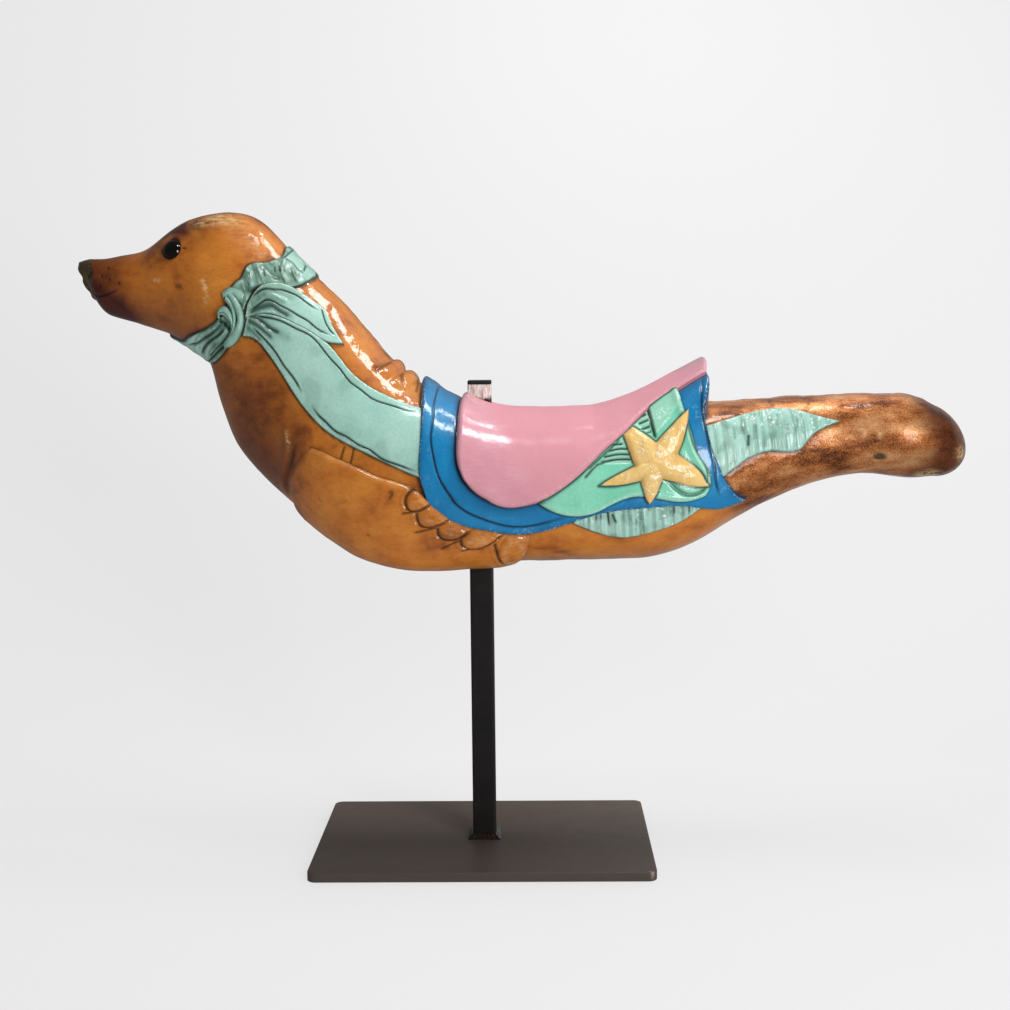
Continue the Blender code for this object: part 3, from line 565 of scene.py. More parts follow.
def makePaint(name, brush=(1, 1, 1)):
    p = paints[name]
    material, tree, shader = newMaterial(name, IOR=1.48, Specular_IOR_Level=0.25, Coat_Weight=p["coat"],
                                         Coat_Roughness=0.06)
    glazeAndShade, wear, second = marksOf(tree)
    if p.get("dull"):
        dulled = scaled(tree, second, 0, 1, p["coat"], p["coat"] * (1 - p["dull"]))
        feed(tree, shader, Coat_Weight=dulled)
    places = objectPlaces(tree)
    brushed = objectPlaces(tree, brush)
    cloud = noise(tree, places, 60, 4)
    strokes = noise(tree, brushed, 3.5, 3, 0.6)
    colour = mixed(tree, scaled(tree, cloud, 0.35, 0.65), linear(p["main"]), linear(p["cloud"]))
    colour = mixed(tree, scaled(tree, strokes, 0.4, 0.8, 0, 0.35), colour, linear(p["low"]))
    colour = mixed(tree, second, colour, linear(p["second"]))
    speck = noise(tree, places, p.get("speck", 4), 5, 0.7)
    speck = times(tree, wear, scaled(tree, speck, 0.5, 0.6))
    colour = mixed(tree, speck, colour, linear(p["worn"]))
    colour = mixed(tree, glazeAndShade, colour, linear(p["dark"]))
    rough = scaled(tree, noise(tree, places, 20, 3), 0.3, 0.7, p["roughness"] - 0.06, p["roughness"] + 0.08)
    if p.get("dull"):
        rough = plus(tree, rough, times(tree, second, 0.35))
    feed(tree, shader, Base_Color=colour, Roughness=rough)
    height = plus(tree, times(tree, noise(tree, places, 10, 3), 0.6), times(tree, strokes, 0.2))
    addBump(tree, shader, height, 0.5, 1.4, ("Normal", "Coat Normal"))
    return material


# Blown black glass: near-black, mirror smooth.
def makeGlass():
    material, tree, shader = newMaterial("blackGlass", IOR=1.52, Roughness=0.04)
    depth = noise(tree, objectPlaces(tree), 12, 2)
    colour = mixed(tree, depth, linear("#040202"), linear("#0C0604"))
    feed(tree, shader, Base_Color=colour)
    return material


# Satin black powder coat on steel: fine orange peel, faint rubbed marks, and a bare scuffed end where marked,
# whose shine is painted in as near-white with dark streaks. A warm second colour marks the chip, the post's top
# rim and the plate's painted sheen.
def makePowderCoat():
    material, tree, shader = newMaterial("satinPowderCoat", IOR=1.5)
    wear, second = marksOf(tree)[1:]
    places = objectPlaces(tree)
    cloud = noise(tree, places, 120, 4)
    colour = mixed(tree, scaled(tree, cloud, 0.3, 0.7), linear("#0F0C0C"), linear("#1C1717"))
    streaks = noise(tree, objectPlaces(tree, (1, 1, 0.12)), 2.2, 4, 0.75)
    bare = mixed(tree, scaled(tree, streaks, 0.4, 0.62), linear("#F6EEE8"), linear("#A9948A"))
    colour = mixed(tree, wear, colour, bare)
    colour = mixed(tree, second, colour, linear("#8E7C70"))
    rough = scaled(tree, noise(tree, places, 30, 4), 0.3, 0.7, 0.34, 0.46)
    feed(tree, shader, Base_Color=colour, Roughness=rough)
    addBump(tree, shader, noise(tree, places, 1.6, 2), 0.25, 0.4)
    return material


# Weld metal under gloss black paint: dark, wet-looking ripples.
def makeWeldPaint():
    material, tree, shader = newMaterial("paintedWeld", IOR=1.5, Coat_Weight=0.6, Coat_Roughness=0.05)
    places = objectPlaces(tree)
    colour = mixed(tree, noise(tree, places, 6, 3), linear("#060505"), linear("#100C0C"))
    rough = scaled(tree, noise(tree, places, 4, 3), 0.3, 0.7, 0.16, 0.3)
    feed(tree, shader, Base_Color=colour, Roughness=rough)
    addBump(tree, shader, noise(tree, places, 2, 3), 0.5, 0.6)
    return material


# Moulded black plastic: dull, with a fine even grain.
def makeCapPlastic():
    material, tree, shader = newMaterial("mouldedPlastic", IOR=1.46)
    places = objectPlaces(tree)
    colour = mixed(tree, noise(tree, places, 10, 3), linear("#0D0C0C"), linear("#1A1717"))
    rough = scaled(tree, noise(tree, places, 3, 3), 0.3, 0.7, 0.45, 0.6)
    feed(tree, shader, Base_Color=colour, Roughness=rough)
    addBump(tree, shader, noise(tree, places, 0.8, 2), 0.3, 0.3)
    return material


woodFinish = makeWood()
mintFinish = makePaint("mintPaint")
blueFinish = makePaint("bluePaint")
pinkFinish = makePaint("pinkPaint", (0.2, 1, 1))
greenFinish = makePaint("greenPaint")
yellowFinish = makePaint("yellowPaint")
glassFinish = makeGlass()
coatFinish = makePowderCoat()
weldFinish = makeWeldPaint()
plasticFinish = makeCapPlastic()
print("materials made")


# Outlines shared by the wood and what lies on it, as (station, angle) places on the near side.
scarfBand = dict(
    front=((-90, 104), (-64, 131), (-42, 149), (-32, 166), (-21, 183), (-10, 198), (2, 211), (12, 213),
           (20, 223), (31, 229), (41, 246), (55, 262), (66, 267), (77, 265), (90, 267)),
    rear=((-90, 158), (-72, 170), (-54, 185), (-35, 206), (-11, 232), (12, 243), (23, 249), (34, 267),
          (45, 290), (56, 304), (64, 308), (77, 312), (90, 309)),
    thickness=5.0, rows=84, columns=620,
)
longTail = dict(
    lower=((252, -2), (275, 3), (306, 4), (367, 2), (413, 4), (467, 9), (496, 10), (560, 7)),
    upper=((250, 7), (269, 16), (292, 24), (340, 34), (380, 38), (403, 38), (455, 43), (507, 49), (548, 53)),
    start=((252, -2), (250, 7)),
    end=((560, 7), (548, 53)),
    thickness=4.6, along=460, across=170,
)
shortTail = dict(
    lower=((248, 5), (270, 16), (292, 24), (316, 29), (340, 33), (364, 37), (387, 47)),
    upper=((245, 13), (250, 22), (258, 30), (271, 38), (283, 44), (294, 47.5), (316, 51), (346, 54)),
    start=((248, 5), (245, 13)),
    end=((387, 47), (364, 49), (346, 54)),
    thickness=5.6, along=240, across=150,
)
blanketEdge = dict(
    lower=((575, -2), (598, -11), (646, -18), (699, -21), (744, -15), (797, -8),
           (856, -9), (915, -17), (958, -30), (990, -34)),
    start=((575, -2), (557, 7), (546, 20), (537, 36), (521, 59), (508, 90)),
    end=((990, -34), (978, -25), (962, -9), (947, 7), (938, 22), (932, 34), (931, 41), (936, 49), (940, 57),
         (939, 68), (938, 90)),
    upper=((508, 90), (938, 90)),
    thickness=8.0, rim=4.0, cantleRise=45.5, cantleFront=785, cantleRear=940, along=270, across=112,
)
saddleEdge = dict(
    lower=((613, 10), (629, 4), (652, 0), (675, -2), (698, -1), (721, 1), (744, 6), (768, 14),
           (793, 26), (831, 42), (857, 53), (900, 60), (936, 63)),
    start=((613, 10), (602, 18), (594, 34), (588, 55), (585, 90)),
    end=((936, 63), (941, 76), (943, 90)),
    upper=((585, 90), (943, 90)),
    thickness=11.0, plank=7.5, root=3.0, along=220, across=90,
)
greenCloth = dict(
    lower=((712, 0), (739, -6), (762, -8), (782, -7), (806, -3),
           (840, -1), (865, -4), (911, -11), (930, -11)),
    upper=((714, 3), (744, 9), (768, 17), (793, 29), (831, 46), (857, 56), (898, 61)),
    start=((712, 0), (714, 3)),
    end=((930, -11), (937, -6), (935, 2), (925, 11), (916, 23), (909, 36), (903, 47), (898, 61)),
    thickness=4.5, along=290, across=170,
)
bellyKelp = dict(
    lower=((757, -14), (786, -23), (819, -30), (855, -29), (897, -26), (925, -21)),
    upper=((757, -11), (797, -6), (826, -5), (856, -7), (887, -10), (924, -17)),
    start=((757, -14), (757, -11)),
    end=((925, -21), (924, -17)),
    thickness=4.0, along=260, across=90,
)
tailKelp = dict(
    lower=((945, -6), (979, 0), (1020, 2), (1066, -1), (1079, 7), (1094, 13), (1116, 19)),
    upper=((920, 38), (962, 43), (1010, 50), (1040, 49), (1064, 42), (1088, 31), (1117, 20.5)),
    start=((945, -6), (920, 38)),
    end=((1116, 19), (1117, 20.5)),
    thickness=4.0, along=300, across=160,
)


# Station of the band's front or rear edge at an angle.
def bandEdge(key, angle):
    table = np.array(scarfBand[key], float)
    return splineThrough(table[:, 0], table[:, 1], nearAngle(angle))[..., 0]


# The body: head and trunk, which meet under the scarf.
body = dict(
    headEnd=236, trunkStart=222, headRows=250, headColumns=330, trunkColumns=240, noseRows=26, tailRows=22,
    headGather=1.2,        # brings the head's rows closer to the nose
    # how far the snout reaches past its first slice, at shares of its height from the middle
    noseHeight=26,
    noseReach=((-1, 7), (-0.88, 7.5), (-0.7, 5.4), (-0.6, 4.2), (-0.42, 6), (-0.2, 7), (0.0, 6.4), (0.19, 4),
               (0.4, 5.4), (0.69, 6), (0.85, 4), (1, 3)),
    # rows are close where the wood shows its carving and wide under the blanket: (station, spacing)
    rowSpacing=((222, 2.2), (300, 1.9), (510, 1.7), (560, 3.4), (640, 5), (880, 5), (935, 2.8), (1256, 2.6)),
    tailReach=41, tailDrop=8, tailSlope=6, tailTaper=0.15, tailWorn=(640, -38, 143), unevenness=0.35,
    eyePlace=(131, 35), eyeRadius=15.0, eyeSunk=8.0,
)
tailForm = dict(end=(1222, 1256), backRise=3.0, backDip=3.5, dipPlace=1192, dipLength=24, bellyTrim=2.5)
neckRolls = dict(ridges=((464, 11), (490, 14)), height=6.5, bow=14, spread=34)
padEdge = ((-90, 4), (-60, 4), (-32, 4), (-8, 9), (4, 15), (15, 20), (30, 22), (59, 19), (90, 17))
bothSidesCuts = (                               # depth, half width, stain, places
    (-1.4, 1.6, 0.9, ((18, 27), (15, 19), (10, 8))),
    (0.9, 1.3, 0.0, ((18, 13), (24, 18), (29, 19))),
    (-1.5, 0.8, 0.75, ((-2, -26), (6, -24), (13, -21), (20, -17), (29, -11.5), (39, -5.5), (48, -0.5))),
    (0.8, 1.6, 0.0, ((10, -27), (20, -21), (30, -15.5), (40, -9))),
    (0.8, 2.6, 0.0, ((13, -14), (24, -7), (33, -3), (42, 3))),
    *alike(-1.6, 1.4, 1.0, [(hole,) for hole in ((40, 36), (29, 19), (40, 13), (52, 8), (25, 1))]),
    (-0.8, 0.9, 1.0, ((143, 32.5), (148, 31.5))), (-0.8, 0.9, 1.0, ((120, 38), (114, 39.5))),
    (2.6, 7.0, 0.0, ((361, -13), (374, -22), (380, -36), (386, -49), (400, -63))),
    # the broad groove between chest and flipper, stained darker in its hollow as painted shade
    (-3.6, 5.0, 0.45, ((384, -18), (388, -34), (391, -48), (402, -62))),
)
nearSideCuts = (
    (-1.0, 2.2, 0.6, ((131, 1), (141, 1))), (-0.5, 1.4, 0.5, ((99, 26),)),
    (-2.2, 2.4, 0.6, ((451, 72), (446, 64), (439, 55))),
    (-2.2, 2.4, 0.6, ((476, 74), (478, 67), (489, 62))),
    (-1.4, 2.0, 0.5, ((505, 86), (509, 66))),
    (-1.3, 1.2, 0.9, ((449, 6), (452, -1))), (-1.3, 1.2, 0.9, ((461, 9), (466, 1))),
    (-1.2, 1.5, 0.45, ((998, 74), (1003, 55))), (-1.2, 1.5, 0.45, ((1003, 76), (1010, 55))),
    (-1.4, 1.6, 0.5, ((1026, 84), (1031, 55))), (-1.2, 1.6, 0.4, ((1077, 44), (1084, 74))),
)
outlines = (
    longTail["lower"], longTail["upper"], shortTail["upper"], shortTail["end"], blanketEdge["lower"],
    blanketEdge["start"], blanketEdge["end"], bellyKelp["lower"], bellyKelp["upper"], tailKelp["lower"],
    tailKelp["upper"],
)
# Round patches of the wood as (station, angle, length, spread, strength). A swelling is mm, the others are
# shares of stain, scuffing or wear. Those called near are on the near side only.
woodPatches = dict(
    swollen=((1212, -2, 40, 26, 5.0), (1200, 26, 46, 8, -1.6)),
    brow=((138, 57, 34, 18, 1.15),),
    darkTail=((1150, 6, 26, 12, 0.5),),
    scuffed=((228, 48, 26, 10, 0.6),),
    worn=((186, 65, 21, 9, 1.35), (168, 58, 14, 5, 0.7)),
    nearWorn=((1241, -60, 14, 12.73, 1.6), (1143, 9, 3.2, 3.2, 1), (1169, 1, 3.2, 3.2, 1),
              (1150, 3, 3.2, 3.2, 1)),
    nearDark=((1170, -26, 11, 7, 1.3),),
)
# Shares of the broad darkening: brow, browSmudge and crown are stain; snout, throat and chest are painted
# shade.
darkened = dict(brow=0.9, browSmudge=0.5, snout=0.9, throat=0.6, chest=0.2, crown=0.5, tailEnd=0.8)
scratches = (                                    # half width, share of wear, places
    (3.5, 0.9, ((171, 6), (176, 1), (175, -4))),
    (1.8, 0.8, ((103, 8), (110, 6))),
    (3.0, 0.8, ((366, -16), (372, -19), (378, -22))),
)


# Sum of round patches: each is its strength times a bell of the distance in lengths and spreads.
def ovals(stations, angles, patches):
    return sum(strength * bell(np.hypot((stations - station) / length, (angles - angle) / spread), 1.0)
               for station, angle, length, spread, strength in patches)


# Broad darkening: stain on the brow, the crown and a patch of the tail, painted shade on the snout, under the
# throat and on the chest, and darker towards the tail's end. Each area fades at its borders, and the shares add
# up.
def broadStainAndShade(stations, near, plain):
    areas = dict(
        brow=ovals(stations, near, woodPatches["brow"]) * (1 + 0.4 * wander(plain, 22, 8)),
        snout=ramp(105, 10, stations),
        throat=ramp(20, -50, near) * ramp(420, 380, stations),
        chest=ramp(250, 300, stations) * ramp(410, 380, stations) * ramp(25, -15, near),
        crown=ramp(74, 90, near) * ramp(60, 120, stations) * ramp(245, 215, stations),
        tailEnd=ramp(1215, 1262, stations + 0.3 * np.abs(near)),
    )
    areas["browSmudge"] = areas["brow"] * ramp(0.2, 1.2, wander(plain, 26, 7))
    broad = sum(darkened[key] * area for key, area in areas.items())
    return broad + ovals(stations, near, woodPatches["darkTail"])


# Height over the plain skin, and the marks and regions of the wood, at each place.
def woodRelief(stations, angles):
    near = nearAngle(angles)
    plain = skinPoint(stations, angles)
    height = body["unevenness"] * wander(plain, 60, 3) * ramp(20, 120, stations)
    height += (0.12 + 0.25 * ramp(50, 65, near) * ramp(300, 330, stations)) * wander(plain, 22, 5)
    both, stain = carve(stations, near, bothSidesCuts)
    one, stainOne = carve(stations, angles, nearSideCuts)
    height += both + one
    stain = np.maximum(stain, stainOne)
    for ridge, reach in neckRolls["ridges"]:
        across = np.clip((angles - 90) / neckRolls["spread"], -1, 1)
        along = np.clip((stations - ridge + neckRolls["bow"] * across ** 2) / reach, -1, 1)
        height += neckRolls["height"] * (1 - along ** 2) ** 0.75 * (1 - across ** 4)
    # The skin dips inside the glass ball and has a fine dark line and a pale rim round it.
    ball = skinPoint(*body["eyePlace"], -body["eyeSunk"])
    fromBall = np.linalg.norm(plain * np.where(angles > 90, -1, 1)[..., None] ** (0, 1, 0) - ball, axis=-1)
    fromBall -= body["eyeRadius"]
    height += 0.3 * bell(fromBall - 2.2, 1.4) - 0.5 * bell(fromBall - 0.6, 0.7) - 1.8 * ramp(0, -1.6, fromBall)
    stain = np.maximum(stain, 0.95 * bell(np.maximum(fromBall - 0.6, 0), 0.6))
    # The tail's bulb swells on both sides under a shallow hollow.
    height += ovals(stations, near, woodPatches["swollen"])
    t = tailForm
    tailEnd = ramp(*t["end"], stations)
    dip = t["backDip"] * bell(stations - t["dipPlace"], t["dipLength"])
    height += (t["backRise"] * tailEnd - dip) * bell(near - 90, 45)
    height -= t["bellyTrim"] * tailEnd * bell(near + 90, 40)
    padSide = np.interp(near, *np.array(padEdge, float).T)
    pad = ramp(7, -7, stations - padSide)
    height += 0.5 * ramp(1.5, -1.5, stations - padSide) * ramp(-10, 10, near)
    # Along the layers' outlines and under the band's edges the wood is darkened: glaze and painted shade where
    # they meet it.
    for line in outlines:
        distance = nearLine(stations, angles, line, 9)[0]
        stain = np.maximum(stain, 0.75 * bell(distance, 1.4))
        height -= 0.6 * bell(distance, 1.8)
    for key, towards in (("front", -1), ("rear", 1)):
        gap = towards * (stations - bandEdge(key, angles))
        stain = np.maximum(stain, 0.9 * bell(np.minimum(gap - 1, 0), 1.5) * ramp(4, 1, gap))
    scuffed = ovals(stations, near, woodPatches["scuffed"])
    wear = ovals(stations, near, woodPatches["worn"]) + ovals(stations, angles, woodPatches["nearWorn"])
    for width, share, places in scratches:
        wear += share * bell(nearLine(stations, angles, places, 4 * width)[0], width)
    stain = np.maximum(stain, np.minimum(ovals(stations, angles, woodPatches["nearDark"]), 0.9))
    copper = ramp(925, 985, stations + 0.4 * near)
    regions = markValues(pad, copper, broadStainAndShade(stations, near, plain))
    return height, markValues(stain, wear, scuffed), regions


# Rings round the body at the given stations, with the wood's relief on them and its marks and regions.
def bodyRings(rowStations, columns):
    columnAngles = -90 + 360 * (np.arange(columns) + 0.5) / columns
    stations, angles = np.meshgrid(rowStations, columnAngles, indexing="ij")
    height, marks, regions = woodRelief(stations, angles)
    return skinPoint(stations, angles, height), marks, regions


# Half way between the belly and the back.
def sliceMiddle(station):
    return (skinPoint(station, -90) + skinPoint(station, 90)) / 2


# The snout's end: the first slice shrinks to its middle while it reaches forward, more at the lips and pad.
def addHead():
    b = body
    rings, marks, regions = bodyRings(b["headEnd"] * np.linspace(0, 1, b["headRows"]) ** b["headGather"],
                                      b["headColumns"])
    share = np.linspace(0, 1, b["noseRows"] + 1)[1:]
    radius = np.cos(share * np.pi / 2)[:-1][::-1, None]
    middle = sliceMiddle(0)
    capped = middle + (rings[:1] - middle) * radius[..., None]
    tallness = np.clip((capped[..., 2] - middle[2]) / b["noseHeight"], -1, 1)
    reaches = np.array(b["noseReach"], float).T
    reach = splineThrough(*reaches, tallness)[..., 0]
    capped = capped - np.stack([reach * (1 - radius ** 4) ** 0.5, 0 * reach, 0 * reach], -1)
    noseMarks = markValues(0.95 * bell(tallness + 0.6, 0.05) * ramp(1, 0.9, radius), 0, 0)
    # The snout's end is pad above its lowest part, and it takes the snout's painted shade.
    noseRegions = markValues(ramp(-0.62, -0.56, tallness), 0, 0.6)
    tip = middle - (splineThrough(*reaches, np.array([0.0]))[0, 0], 0, 0)
    points, faces = closedRings(np.concatenate([capped, rings]), tip, sliceMiddle(b["headEnd"] + 2))
    addPiece("sealHead", toMetres(points), faces, woodFinish, [carvedNode], {
        "marks": np.concatenate([noseMarks, marks, [unmarked, unmarked]]),
        "regions": np.concatenate([noseRegions, regions, [(1, 0, 0.6, 1), unmarked]]),
    })


# The trunk: its last slice shrinks along a quarter turn into the tail's round end.
def addTrunk():
    b = body
    start, columns = b["trunkStart"], b["trunkColumns"]
    walk = [float(start)]
    while walk[-1] < lastStation:
        walk.append(walk[-1] + float(np.interp(walk[-1], *np.array(b["rowSpacing"]).T)))
    walk = np.array(walk) - start
    rings, marks, regions = bodyRings(start + walk * ((lastStation - start) / walk[-1]), columns)
    turn = (np.linspace(0, 1, b["tailRows"] + 1)[1:-1] * np.pi / 2)[:, None, None]
    sine, cosine = np.sin(turn), np.cos(turn)
    middle = sliceMiddle(lastStation)
    fall = b["tailDrop"] * (1 - cosine) + b["tailSlope"] * sine * cosine
    way = np.concatenate([b["tailReach"] * sine, 0 * sine, -fall], -1)
    capped = middle + (rings[-1:] - middle) * cosine * (1 - b["tailTaper"] * sine) + way
    bare = 1.2 * bell(np.linalg.norm((capped - b["tailWorn"]) * (1, 0.5, 1), axis=-1), 9)
    tipMarks = np.tile(marks[-columns:], (len(capped), 1)) + bare.reshape(-1, 1) * (0, 1, 0, 0)
    tipRegions = np.tile(regions[-columns:], (len(capped), 1))
    tip = middle + (b["tailReach"], 0, -b["tailDrop"])
    points, faces = closedRings(np.concatenate([rings, capped]), sliceMiddle(start), tip)
    addPiece("sealTrunk", toMetres(points), faces, woodFinish, [carvedNode], {
        "marks": np.concatenate([marks, tipMarks, [unmarked, unmarked]]),
        "regions": np.concatenate([regions, tipRegions, [unmarked, (0, 1, 0, 1)]]),
    })


addHead()
addTrunk()


# The eyes: glass balls sunk in their sockets as the solid's are.
def addEyes():
    station, angle = body["eyePlace"]
    centre = skinPoint(station, angle, -body["eyeSunk"])
    turns = np.linspace(-np.pi / 2, np.pi / 2, 41)[1:-1, None]
    circle = np.linspace(0, 2 * np.pi, 72, endpoint=False)[None]
    radius = body["eyeRadius"]
    ball = radius * np.stack([np.cos(turns) * np.cos(circle), np.cos(turns) * np.sin(circle),
                              np.sin(turns) + 0 * circle], -1)
    for name, node, side in (("glassEyeNear", "eye_near", 1), ("glassEyeFar", "eye_far", -1)):
        spot = centre * (1, side, 1)
        points, faces = closedRings(ball + spot, spot - (0, 0, radius), spot + (0, 0, radius))
        addPiece(name, toMetres(points), faces, glassFinish, [node])


addEyes()


# The fore flippers: a thick flat blade that stands out at its lower corner, with five toes along its rear
# edge, each a low dome in a ring cut.
flipper = dict(
    lower=((446, -82), (500, -82), (560, -82), (620, -82), (676, -79)),
    upper=((402, -10), (423, -4), (447, 0), (469, 2), (504, 3), (541, 3), (572, -1), (600, -9), (646, -17),
           (703, -22)),
    start=((446, -82), (412, -62), (396, -46), (393, -30), (402, -10)),
    end=((676, -79), (696, -48), (703, -22)),
    front=394, rear=694, face=10.0, corner=17.0, edgeRadius=9.0, along=280, across=230,
    toes=((564, -3, 18, 6.0, 4.2), (585, -11, 20, 6.6, 4.2), (609, -18, 18, 7.0, 4.2),
          (641, -24, 23, 7.5, 4.5), (684, -38, 19, 19, 5.5)),
    rings=(
        ((562, 3), (553, 2), (547, -1), (549, -5), (554, -8), (562, -8), (572, -5), (581, -2)),
        ((562, -8), (566, -12), (571, -16), (577, -17), (590, -15), (605, -10)),
        ((592, -15), (593, -19), (597, -23), (608, -24), (619, -22), (630, -17)),
        ((620, -21), (621, -25), (626, -30), (634, -31), (646, -29), (670, -20)),
        ((660, -25), (663, -34), (668, -44), (673, -52), (680, -58)),
        ((683, -60), (697, -44), (706, -28)),
    ),
    ticks=(((547, -11), (562, -8)), ((566, -22), (592, -16)), ((600, -31), (620, -24)),
           ((622, -33), (634, -31))),
    nicks=[(-0.8, 1.6, 0.6, ((524, -1), (529, -1), (527, -5))), (-0.7, 1.6, 0.5, ((516, -31), (520, -31))),
           (-0.5, 1.4, 0.35, ((444, -29), (452, -29)))],
)


# The blade stands out most at its lower corner, and the toes are low domes on it.
def addFlippers():
    f = flipper
    stations, angles, ground, flat = layerGrid(f, (0, 1, 0, 1))
    s = (stations - f["front"]) / (f["rear"] - f["front"])
    blade = f["face"] * (1 - ramp(-60, -84, angles))
    corner = f["corner"] * bell(s - 0.52, 0.3) * bell(angles + 47, 22)
    ends = np.sqrt(np.clip(s / 0.14, 0, 1)) * (1 - 0.4 * ramp(0.9, 1.0, s))
    lift = (blade + corner) * ends
    lift = 2.0 + (lift - 2.0) * roundEdge(flat, f["edgeRadius"])
    low = edgeDistance(ground, (1, 0, 1, 0))
    lift = lift * (0.5 + 0.5 * ramp(0, 9, low)) - 3.0 * ramp(8, 0, low)
    toes = np.zeros(stations.shape)
    for station, angle, reach, spread, height in f["toes"]:
        across = np.hypot((stations - station) / reach, (angles - angle) / spread)
        toes = np.maximum(toes, height * np.sqrt(np.clip(1 - across ** 2, 0, 1)))
    cuts = alike(-2.0, 1.7, 0.85, f["rings"]) + alike(0.9, 1.8, 0.0, shifted(f["rings"][:5], -5, -0.6))
    height, stain = carve(stations, angles, cuts + alike(-1.3, 1.2, 0.8, f["ticks"]) + f["nicks"])
    plain = skinPoint(stations, angles, lift)
    lift = lift + toes + height + 0.35 * wander(plain, 60, 3) + 0.1 * wander(plain, 20, 9)
    upperEdge = edgeDistance(plain, (0, 0, 0, 1))
    # A dark line along the upper edge is glaze and painted shade where the blade meets the body; the pale marks
    # on the toes and in a band below the upper edge are painted highlights.
    stain = np.maximum(stain, 0.75 * bell(upperEdge, 1.4))
    wear = np.maximum(0.35 * bell(toes - 4.4, 0.8), 0.25 * bell(upperEdge - 7, 3))
    for name, far in (("flipperNear", False), ("flipperFar", True)):
        piece = addLayer(name, stations, angles, lift, (stain, wear, 0 * stain), woodFinish,
                         mirror=far)
        addField(piece.data, "regions", np.tile(unmarked, (len(piece.data.vertices), 1)))


addFlippers()


# Folds of cloth round a knot: a strip of the given half widths carried along a line on the skin.
def stripGrid(places, halfWidths, along, across):
    line = smoothLine(places, along)
    scale = girthScale(line[:, 0])
    du = np.gradient(line[:, 0])
    da = np.gradient(line[:, 1]) * scale
    length = np.hypot(du, da)
    width = np.interp(np.linspace(0, 1, along), np.linspace(0, 1, len(halfWidths)), halfWidths)
    s = np.linspace(-1, 1, across)[None]
    stations = line[:, :1] - (da / length * width)[:, None] * s
    angles = line[:, 1:] + (du / length * width / scale)[:, None] * s
    return stations, angles, np.linspace(0, 1, along)[:, None], s


# The scarf: the band round the neck, gathered into short pleats above the knot and drawn into long folds
# below it.
bandPleats = dict(
    farRidges=(118, 132, 146, 160, 174, 189, 204, 218), height=2.0, width=2.4,
    # the frilled edges of the far side: waves round the neck, and their share at some angles
    frills=24, frillHeight=1.2, frillAt=((60, 100, 200, 240), (0, 1, 1, 0.3)),
    cuts=(
        # folds of the throat, fanning from the knot
        (2.0, 2.6, 0.0, ((215, -3), (195, -15), (172, -31), (155, -48), (150, -66))),
        (2.2, 2.8, 0.0, ((226, -3), (211, -12), (195, -24), (179, -41), (170, -64))),
        (2.0, 2.4, 0.0, ((233, -5), (221, -13), (205, -25), (191, -37), (180, -58))),
        (1.6, 2.2, 0.0, ((207, -4), (187, -15), (162, -31), (145, -50))),
        (-2.0, 1.6, 1.0, ((219, -7), (203, -18), (187, -30), (173, -44), (160, -64))),
        (-2.0, 1.5, 0.9, ((137, -62), (159, -46), (181, -29), (196, -18), (208, -9))),
        (-1.8, 1.5, 0.9, ((229, -8), (216, -17), (200, -30), (186, -44))),
        (-1.8, 1.6, 1.0, ((162, -80), (181, -54), (198, -36), (214, -22), (228, -13))),
        (-1.4, 1.3, 0.8, ((202, -13), (209, -8))), (-1.5, 1.4, 0.8, ((226, -7), (222, -12))),
        (-3.0, 2.2, 1.0, ((203, -8.5), (211, -7), (219, -6.5), (226, -6.5))),
        # the flounce behind the knot: bright ridges, hollows stained darker as painted shade, and flecks
        (2.2, 2.4, 0.0, ((240, 37), (246, 34), (253, 33), (258, 31))),
        (2.6, 2.4, 0.0, ((271, 62), (273, 56), (275, 50), (282, 47), (289, 46))),
        (2.2, 2.2, 0.0, ((286, 61), (288, 58), (292, 56), (298, 55))),
        (2.0, 2.8, 0.0, ((216, 16), (226, 18), (238, 16))), (2.0, 3.0, 0.0, ((226, 28), (236, 26), (246, 21))),
        (-1.8, 3.5, 0.3, ((246, 40), (256, 40), (268, 42), (276, 45))),
        (-1.6, 3.2, 0.3, ((221, 22), (232, 21), (243, 16))),
        (-1.6, 2.6, 0.3, ((232, 34), (241, 30), (250, 26))),
        (-1.6, 1.2, 0.9, ((251, 38), (257, 35))), (-1.6, 1.2, 0.9, ((268, 51), (273, 48))),
        (-1.4, 1.0, 0.8, ((264, 48), (267, 44))), (-1.2, 1.0, 0.8, ((233, 27.5), (236, 26))),
        (-1.2, 1.0, 0.8, ((235, 22), (239, 21))), (-1.3, 1.1, 0.9, ((298, 69), (295, 84))),
        (-1.2, 1.1, 0.8, ((270, 61), (272, 72), (273, 88))),
        (-1.6, 1.8, 0.7, ((272, 63), (283, 66), (294, 66), (299, 68))),
        (-2.0, 2.2, 1.0, ((243, 17), (248, 22), (258, 28), (271, 35), (282, 41))),
        (-1.4, 1.4, 0.8, ((215, 6), (226, 8), (238, 8))),
    ),
)


